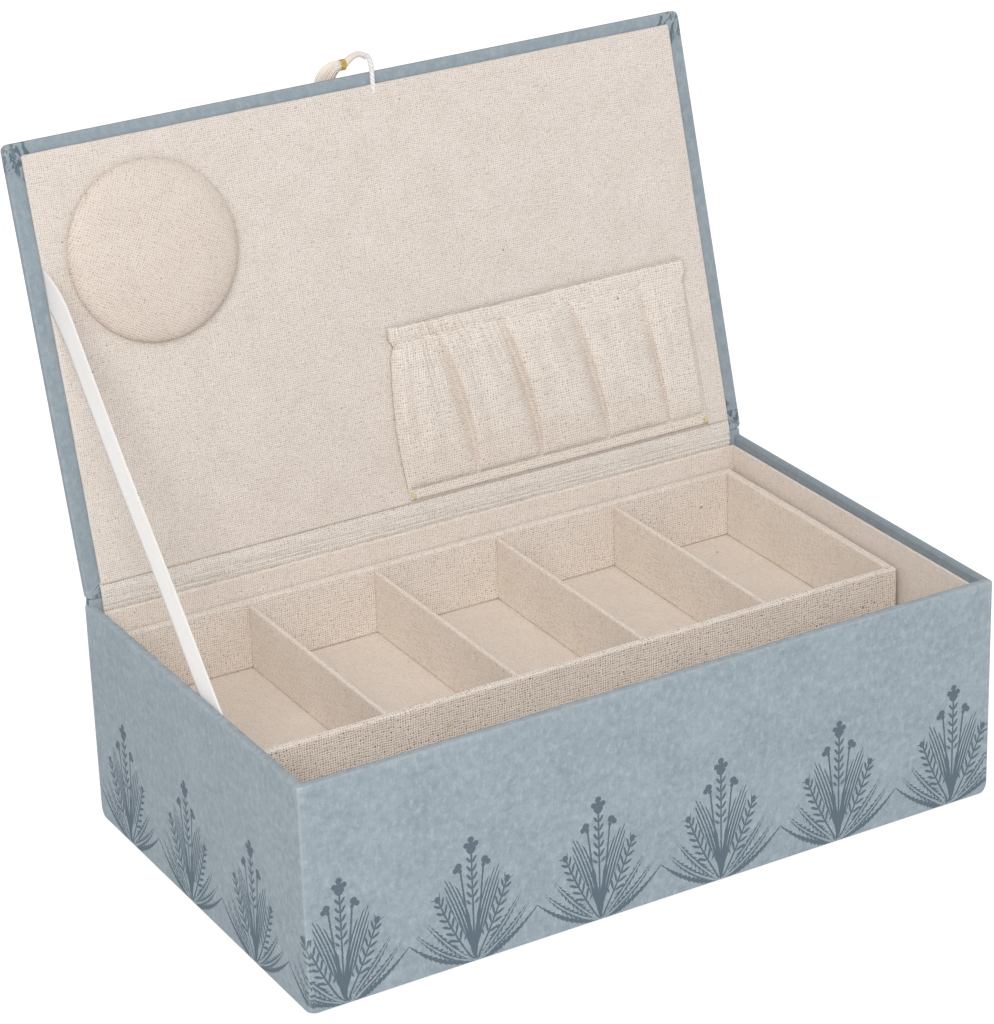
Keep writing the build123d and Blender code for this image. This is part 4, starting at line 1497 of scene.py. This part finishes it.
@dataclass(frozen=True)
class Pocket:
    """The linen pocket: four pleats that lean as they rise, gathered on elastic at the mouth."""

    bottom: float = 6.0
    hem: float = 10.8
    casing: float = 69.3
    mouth: float = 76.0
    lining: float = 1.5
    depth: float = 0.6
    cloth: float = 165.0
    climb: float = 0.08
    overhang: float = 0.11
    edge_height: float = 0.62
    hem_height: float = 0.72
    fullness: tuple[float, ...] = (1.0, 1.1, 1.1, 0.9, 0.55)
    waves: tuple[tuple[int, float], ...] = ((19, 0.5), (33, 0.6), (47, 0.9), (55, 0.8), (71, 0.4))
    folds: tuple[Point, ...] = (
        (23.6, 0.0, 0.0028), (53.5, 0.02, 0.0026), (85.8, 0.06, 0.0020), (115.4, 0.04, 0.0014),
    )

    def ends(self, s: Array) -> tuple[Array, Array]:
        """Give the left and right edges at each height: straight, with a bulge on the left."""
        up = np.clip((s - self.bottom) / (self.casing - self.bottom), 0, 1.15)
        bulge = np.clip(1 - (2 * up - 1) ** 2, 0, 1)
        notch = np.exp(-(((s - self.casing + 1.5) / 1.8) ** 2))
        above = np.clip((s - self.casing + 0.5) / 1.5, 0, 1)
        left = -8.3 + up * 2.6 - 2.6 * bulge + 0.8 * notch - 1.1 * above
        return left, 133.3 - 1.4 * up - 0.3 * notch + 0.5 * above

    def creases(self, s: Array) -> Array:
        """Give each fold's x at each height: its foot less a lean and a growing curve."""
        rise = np.clip(s - self.hem, 0, None)
        return np.stack([foot - lean * rise - curve * rise * rise for foot, lean, curve in self.folds], axis=-1)

    def grid(self) -> PocketGrid:
        """Lay out the rows and columns, the columns closest together beside each fold."""
        s = np.concatenate((
            np.linspace(self.bottom, self.hem, 5), np.linspace(self.hem + 0.5, self.casing, 90),
            np.linspace(self.casing + 0.4, self.mouth, 18),
        ))
        up = np.clip((s - self.hem) / (self.casing - self.hem), 0, 1)[:, None]
        spots = np.concatenate((np.linspace(0, self.climb, 7)[:-1], np.linspace(self.climb, 1, 56)[:-1]))
        panels = len(self.folds) + 1
        share = np.append((np.arange(panels)[:, None] + spots).ravel(), panels) / panels
        panel = np.minimum((share * panels).astype(int), panels - 1)
        return PocketGrid(s, up, share, panel, share * panels - panel)

    def across(self, grid: PocketGrid) -> Array:
        """Give x over the grid: even from fold to fold, with half a sine that overhangs each fold."""
        left, right = self.ends(grid.s)
        knots = np.concatenate((left[:, None], self.creases(grid.s), right[:, None]), axis=1)
        x = knots[:, grid.panel] + (knots[:, grid.panel + 1] - knots[:, grid.panel]) * grid.local
        over = np.sin(math.pi * np.clip(grid.local / self.overhang, 0, 1)) * np.where(grid.panel > 0, 1.0, 0.0)
        return x - over * (1 - 0.8 * grid.up ** 3)

    def pleats(self, grid: PocketGrid) -> Array:
        """Give the folded cloth's height off the lining.

        Between two folds the cloth rises at once beside the left fold, by a quarter circle. It
        falls away towards the right one by the square of the distance past a point that lies near
        the fold at the hem and near the middle at the mouth.
        """
        climb = np.sqrt(1 - (1 - np.clip(grid.local / self.climb, 0, 1)) ** 2)
        begin = np.interp(grid.up, (0, 0.3, 0.7, 1), (0.86, 0.66, 0.5, 0.45))
        fall = 1 - 0.12 * grid.local - 0.88 * np.clip((grid.local - begin) / (1 - begin), 0, 1) ** 2.0
        humps = climb * fall * np.array(self.fullness)[grid.panel]
        level = np.interp(grid.up, (0, 0.12, 0.5, 0.8, 1), (0.7, 0.8, 0.9, 1.6, 2.9))
        puff = np.interp(grid.up, (0, 0.04, 0.25, 0.55, 0.85, 1), (1.1, 2.2, 4.4, 5.0, 3.8, 1.5))
        return level + humps * puff

    def gathers(self, grid: PocketGrid) -> Array:
        """Give the gathers' form: a sum of sines that wander as they rise, each begun by chance."""
        dice = np.random.default_rng(12)
        gathers = np.zeros((len(grid.s), len(grid.share)))
        for waves, amount in self.waves:
            wander = 0.35 * np.sin(grid.up * 5 + waves)
            gathers += np.sin(2 * math.pi * waves * grid.share + wander + dice.uniform(0, 6.3)) * amount
        return gathers

    def sheet(self) -> tuple[Array, Array]:
        """Work out the pocket's face and its flat map.

        The gathers' depth falls away downwards from the elastic, two broad sines slacken the cloth
        between hem and mouth, and the casing over the elastic is a low roll with fine ribs. Two
        bell curves press in the seams, and both edges are tucked in by a parabola. The flat map is
        the distance run over the face, each row as long as the cloth.
        """
        grid = self.grid()
        s, up, share = grid.s, grid.up, grid.share
        x, gathers = self.across(grid), self.gathers(grid)
        strength = 0.3 + 0.7 * np.exp(-((share - 0.2) / 0.2) ** 2)
        reach = np.exp(-((np.clip(self.casing - s, 0, None) / 15.0) ** 1.3))[:, None] * (s > self.hem)[:, None]
        height = self.pleats(grid) + gathers * strength * reach * 0.34
        broad = np.sin(2 * math.pi * (9.3 * share + 0.3 * up) + 1.0) + np.sin(2 * math.pi * (14.7 * share - 0.2 * up))
        height = height + broad * 0.3 * np.sin(math.pi * up ** 1.6)
        roll = np.clip((s - self.casing) / (self.mouth - self.casing), 0, 1)[:, None]
        band = np.where(roll > 0.5, np.sqrt(np.clip(1 - (2 * roll - 1) ** 6, 0, 1)), 1.0)
        fine = np.sin(2 * math.pi * 61 * share)
        ribs = np.sin(2 * math.pi * 61 * share + 0.5) + np.sin(2 * math.pi * 83 * share) + 0.7 * gathers
        casing_face = 3.2 + 0.3 * np.sin(math.pi * roll) + ribs * strength * 0.3
        height = np.where(roll > 0, casing_face * band + 2.2 * (1 - band), height)
        seams = ((self.casing, 0.55, (0.3 + 0.16 * fine) * strength), (self.hem, 0.5, 0.3))
        for seam, width, press in seams:
            height = height - np.exp(-(((s - seam) / width) ** 2))[:, None] * press
        left, right = self.ends(s)
        side = np.minimum(x - left[:, None], right[:, None] - x)
        tuck = np.clip(side / np.where(s > self.casing - 1.5, 1.2, 3.2)[:, None], 0, 1)
        height = self.edge_height + (height - self.edge_height) * tuck * (2 - tuck)
        height = np.where((s <= self.hem)[:, None], np.minimum(height, self.hem_height), height)
        points = LID.at(x, s[:, None], self.lining + height)
        run = np.cumsum(np.linalg.norm(np.diff(points, axis=1, prepend=points[:, :1]), axis=2), axis=1)
        return points, join(run / run[:, -1:] * self.cloth, s[:, None])

    def seams(self) -> Object:
        """Make the running stitches beside both edges: short tubes that dip in and out of the cloth."""
        face, _ = self.sheet()
        s = np.arange(12.0, 66.0, 2.5)[:, None] + np.linspace(0, 1.5, 7)
        heights = (face - LID.edge) @ LID.up
        lines = []
        for column, shift in ((14, 0.0), (-16, 0.6)):
            path = [np.interp(s + shift, heights[:, column], face[:, column, axis]) for axis in range(3)]
            bow = np.sin(math.pi * np.linspace(0, 1, 7)) ** 0.6 * 0.3 - 0.12
            lines.append(np.stack(path, axis=-1) + bow[:, None] * LID.inward)
        lines = np.concatenate(lines)
        return piece("pocket_seam_thread", *tubes(lines, np.full(lines.shape[:2], 0.17), 6, (1.0, 0.0, 0.0)))

    def stitches(self) -> Object:
        """Make the corner stitches: short tubes that bow over the cloth's corners."""
        plans = [
            ((-7.9, 6.3), (-6.4, 8.9), 1.3), ((-7.2, 6.2), (-7.4, 9.3), 1.35), ((-6.3, 6.3), (-8.0, 8.6), 1.5),
            ((131.2, 8.8), (132.7, 6.3), 1.3), ((132.4, 9.2), (131.6, 6.2), 1.4),
            ((132.9, 8.0), (130.9, 7.0), 1.5), ((-5.3, 72.5), (-2.4, 72.6), 2.4),
            ((129.0, 73.6), (131.2, 75.9), 2.4), ((130.6, 70.2), (130.8, 73.6), 2.4),
        ]
        share = np.linspace(0, 1, 9)
        bow = np.sin(math.pi * share)
        lines = np.array([
            LID.at(start[0] + (end[0] - start[0]) * share, start[1] + (end[1] - start[1]) * share,
                   self.lining + height - 0.9 + 1.25 * bow ** 0.5)
            for start, end, height in plans
        ])
        return piece("pocket_stitches", *tubes(lines, np.full(lines.shape[:2], 0.24), 6, tuple(LID.inward)))

    def build(self, finishes: Finishes) -> None:
        """Make and dress the pocket, its elastic and its stitches."""
        face, flat = self.sheet()
        made = piece("gathered_pocket", *thick(face, flat, self.depth))
        settle(made, finishes.pocket_linen, ("pocket_cloth",), "lid")
        settle(self.stitches(), finishes.stitch, ("pocket_tacks",), "lid")
        settle(self.seams(), finishes.tassel, (), "lid")
        dress(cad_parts["pocket_elastic"], finishes.elastic)


@dataclass(frozen=True)
class Pull:
    """The pull: a white cord over the lid's free edge, and the tassel that hangs behind it."""

    axis_s: float = 180.4
    axis_o: float = -6.0
    band_x: float = -1.4
    band_length: float = 1.8
    threads: int = 130
    skirt_length: float = 38.0

    def cord(self) -> tuple[Object, Object]:
        """Make the cord: one smooth line from under the lining to the tassel's head, in two tubes.

        The first tube lies on the lid's turn-in, where the closed lid presses it on the rim, and
        the second is the loop past the lid's edge.
        """
        plan = [(6.0, 167.5, 0.9), (6.0, 172.0, 1.0), (6.5, 177.0, 1.3), (8.2, 180.9, 0.6), (8.4, 183.0, -3.0),
                (7.7, 182.8, -5.2), (6.4, 182.5, -5.9)]
        line = eased(LID.at(*np.transpose(plan)), 60)
        past = int(np.argmax((line - LID.edge) @ LID.up > 176.9))
        root, loop = (
            piece(name, *tubes(part[None], np.full((1, len(part)), 1.0), 14, (0.35, 0.2, 0.9)))
            for name, part in (("pull_cord_root", line[:past + 1]), ("pull_cord_braid", line[past:]))
        )
        return root, loop

    def head(self) -> Object:
        """Make the head: laid thread in an arch from the cord to the band."""
        plan = [(8.3, 181.2, -5.0), (7.0, 184.2, -6.0), (3.0, 184.0, -6.2), (0.8, 181.4, -6.0), (-1.6, 180.4, -6.0)]
        line = eased(LID.at(*np.transpose(plan)), 30)[None]
        share = np.linspace(0, 1, 30)
        radii = (1.15 + 0.55 * share ** 2)[None]
        return piece("tassel_arch", *tubes(line, radii, 16, (0.0, 1.0, 0.0)))

    def band(self) -> Object:
        """Make the band: one gold thread wound round the neck as a close helix."""
        turn = np.linspace(0, 2 * math.pi * 4, 97)
        x = self.band_x + 0.1 - self.band_length * turn / turn[-1]
        s = self.axis_s + 1.95 * np.cos(turn)
        o = self.axis_o + 1.95 * np.sin(turn)
        return piece("gold_band", *tubes(LID.at(x, s, o)[None], np.full((1, 97), 0.3), 8, (1.0, 0.0, 0.0)))

    def skirt(self) -> Object:
        """Make the skirt's threads, all at once.

        Every thread starts in the band at its own place on a sunflower spiral, runs left, bends
        down on its own radius and hangs, and its place in the bundle spreads out as it falls.
        """
        dice = np.random.default_rng(7)
        number = np.arange(self.threads)
        spiral = number * 2.39996
        out = np.sqrt((number + 0.5) / self.threads)
        one, two = np.cos(spiral) * out, np.sin(spiral) * out
        share = np.linspace(0, 1, 22)[None]
        bend = 7.0
        arc = np.clip(share / 0.3, 0, 1) * math.pi / 2
        fall = np.clip((share - 0.3) / 0.7, 0, 1)
        radius = bend + one[:, None] * (1.7 + 2.0 * arc)
        length = (self.skirt_length - bend) * (1 + 0.035 * dice.normal(size=(self.threads, 1)))
        spread = 1 + 0.9 * np.sin(arc) + 0.25 * fall
        x = self.band_x - 1.6 - radius * np.sin(arc)
        down = bend - radius * np.cos(arc) + fall * length
        back = two[:, None] * 1.7 * spread
        sway = dice.normal(size=(self.threads, 1)) * 0.5 * fall ** 2
        start = LID.at(0.0, self.axis_s, self.axis_o)
        y = start[1] + back + 0.6 * np.sin(arc)
        lines = join(x + sway, y, start[2] - down)
        radii = np.full(lines.shape[:2], 0.34) * (1 - 0.15 * fall)
        return piece("tassel_threads", *tubes(lines, radii, 6, (0.0, 1.0, 0.0)))

    def build(self, finishes: Finishes) -> None:
        """Make and dress the cord and the tassel."""
        root, loop = self.cord()
        for part in (root, loop):
            settle(part, finishes.cord, ("pull_cord",), "lid")
        tuple(LID.at(6.0, 172.0, 0.02) * MM)
        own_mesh(root)
        settle(self.head(), finishes.tassel, ("tassel_head",), "tassel")
        settle(self.band(), finishes.gold, ("tassel_band",), "tassel")
        settle(self.skirt(), finishes.tassel, ("tassel_skirt",), "tassel")


@dataclass(frozen=True)
class Studio:
    """The floor, the light and the camera."""

    right: Point = (0.8618, -0.5066, -0.0288)
    up: Point = (0.2312, 0.3415, 0.9109)
    back: Point = (-0.4516, -0.7916, 0.4115)
    stand: Point = (-0.63589, -1.08496, 0.6941)
    focal_pixels: float = 3645.2
    long_side: float = 1024.0
    sensor: float = 36.0
    middle: Point = (0.0, 0.02, 0.1)
    floor_half: float = 30.0
    sky_light: float = 0.5
    lamps: tuple[tuple[str, Point, float, float], ...] = (
        ("window", (-1.45, -2.0, 2.05), 58.0, 1.8),
        ("fill", (2.2, -1.6, 1.8), 8.0, 2.0),
    )

    def turn(self, thing: Object, axes: Sequence[Point], place: Point) -> None:
        """Put an object in its place, turned to its right, up and back directions."""
        rows = [[*(axis[row] for axis in axes), place[row]] for row in range(3)]
        thing.matrix_world = Matrix(rows + [[0, 0, 0, 1]])

    def camera(self) -> None:
        """Set the camera where the photograph was taken from."""
        data = bpy.data.cameras.new("camera")
        data.sensor_width = self.sensor
        data.lens = self.focal_pixels * self.sensor / self.long_side
        data.clip_start, data.clip_end = 0.05, 50.0
        eye = placed("camera", data)
        self.turn(eye, (self.right, self.up, self.back), self.stand)
        bpy.context.scene.camera = eye

    def floor(self) -> None:
        """Lay the pale floor, which looks white to the camera and keeps the shadow."""
        mesh = bpy.data.meshes.new("floor")
        far = self.floor_half
        mesh.from_pydata([(-far, -far, 0), (far, -far, 0), (far, far, 0), (-far, far, 0)], [], [(0, 1, 2, 3)])
        ground = placed("floor", mesh)
        graph = Graph("pale_floor")
        rays = graph.node("ShaderNodeLightPath")
        seen = (Value(graph, rays.outputs["Is Camera Ray"]) + Value(graph, rays.outputs["Is Glossy Ray"])
                + Value(graph, rays.outputs["Is Transmission Ray"])).held()
        matt = graph.node("ShaderNodeBsdfDiffuse", None, {"Color": (0.9, 0.9, 0.9, 1.0)})
        glow = graph.node("ShaderNodeEmission", None, {"Color": (1.0, 1.0, 1.0, 1.0), "Strength": 0.5})
        both = graph.node("ShaderNodeAddShader", None, {0: matt.outputs[0], 1: glow.outputs[0]})
        pick = graph.node("ShaderNodeMixShader", None, {0: seen, 1: matt.outputs[0], 2: both.outputs[0]})
        graph.node("ShaderNodeOutputMaterial", None, {0: pick.outputs[0]})
        dress(ground, graph.material)

    def lamp(self, name: str, place: Point, power: float, size: float) -> None:
        """Hang a square soft lamp that faces the box.

        Args:
            name: the lamp's name.
            place: where it hangs, in metres.
            power: its power in watts.
            size: the length of its side in metres.
        """
        data = bpy.data.lights.new(name, "AREA")
        data.energy, data.size = power, size
        aim = np.subtract(self.middle, place)
        forward = -aim / np.linalg.norm(aim)
        side = np.cross((0.0, 0.0, 1.0), forward)
        side /= np.linalg.norm(side)
        self.turn(placed(name, data), (side, np.cross(forward, side), forward), place)

    def sky(self) -> None:
        """Set the sky: plain white to the camera, and dimmer as a light."""
        world = bpy.data.worlds.new("sky")
        world.use_nodes = True
        tree = world.node_tree
        rays = tree.nodes.new("ShaderNodeLightPath")
        level = tree.nodes.new("ShaderNodeMath")
        level.operation = "MULTIPLY_ADD"
        level.inputs[1].default_value, level.inputs[2].default_value = 1.0 - self.sky_light, self.sky_light
        tree.links.new(rays.outputs["Is Camera Ray"], level.inputs[0])
        background = tree.nodes["Background"]
        background.inputs["Color"].default_value = (1.0, 1.0, 1.0, 1.0)
        tree.links.new(level.outputs[0], background.inputs["Strength"])
        bpy.context.scene.world = world

    def build(self) -> None:
        """Set the camera, the floor, the lamps and the sky."""
        self.camera()
        self.floor()
        for lamp in self.lamps:
            self.lamp(*lamp)
        self.sky()
        bpy.context.scene.view_settings.view_transform = "Standard"


def main() -> None:
    """Build the studio and every sub-assembly in order."""
    logging.basicConfig(level=logging.INFO, format="%(name)s %(message)s")
    Studio().build()
    finishes = Finishes.make()
    for part in (Base(), Tray(), Lid(), Hinge(), Ribbon(), Pincushion(), Pocket(), Pull()):
        log.info("building the %s", type(part).__name__.lower())
        part.build(finishes)
    bpy.context.view_layer.update()


if __name__ == "__main__":
    main()
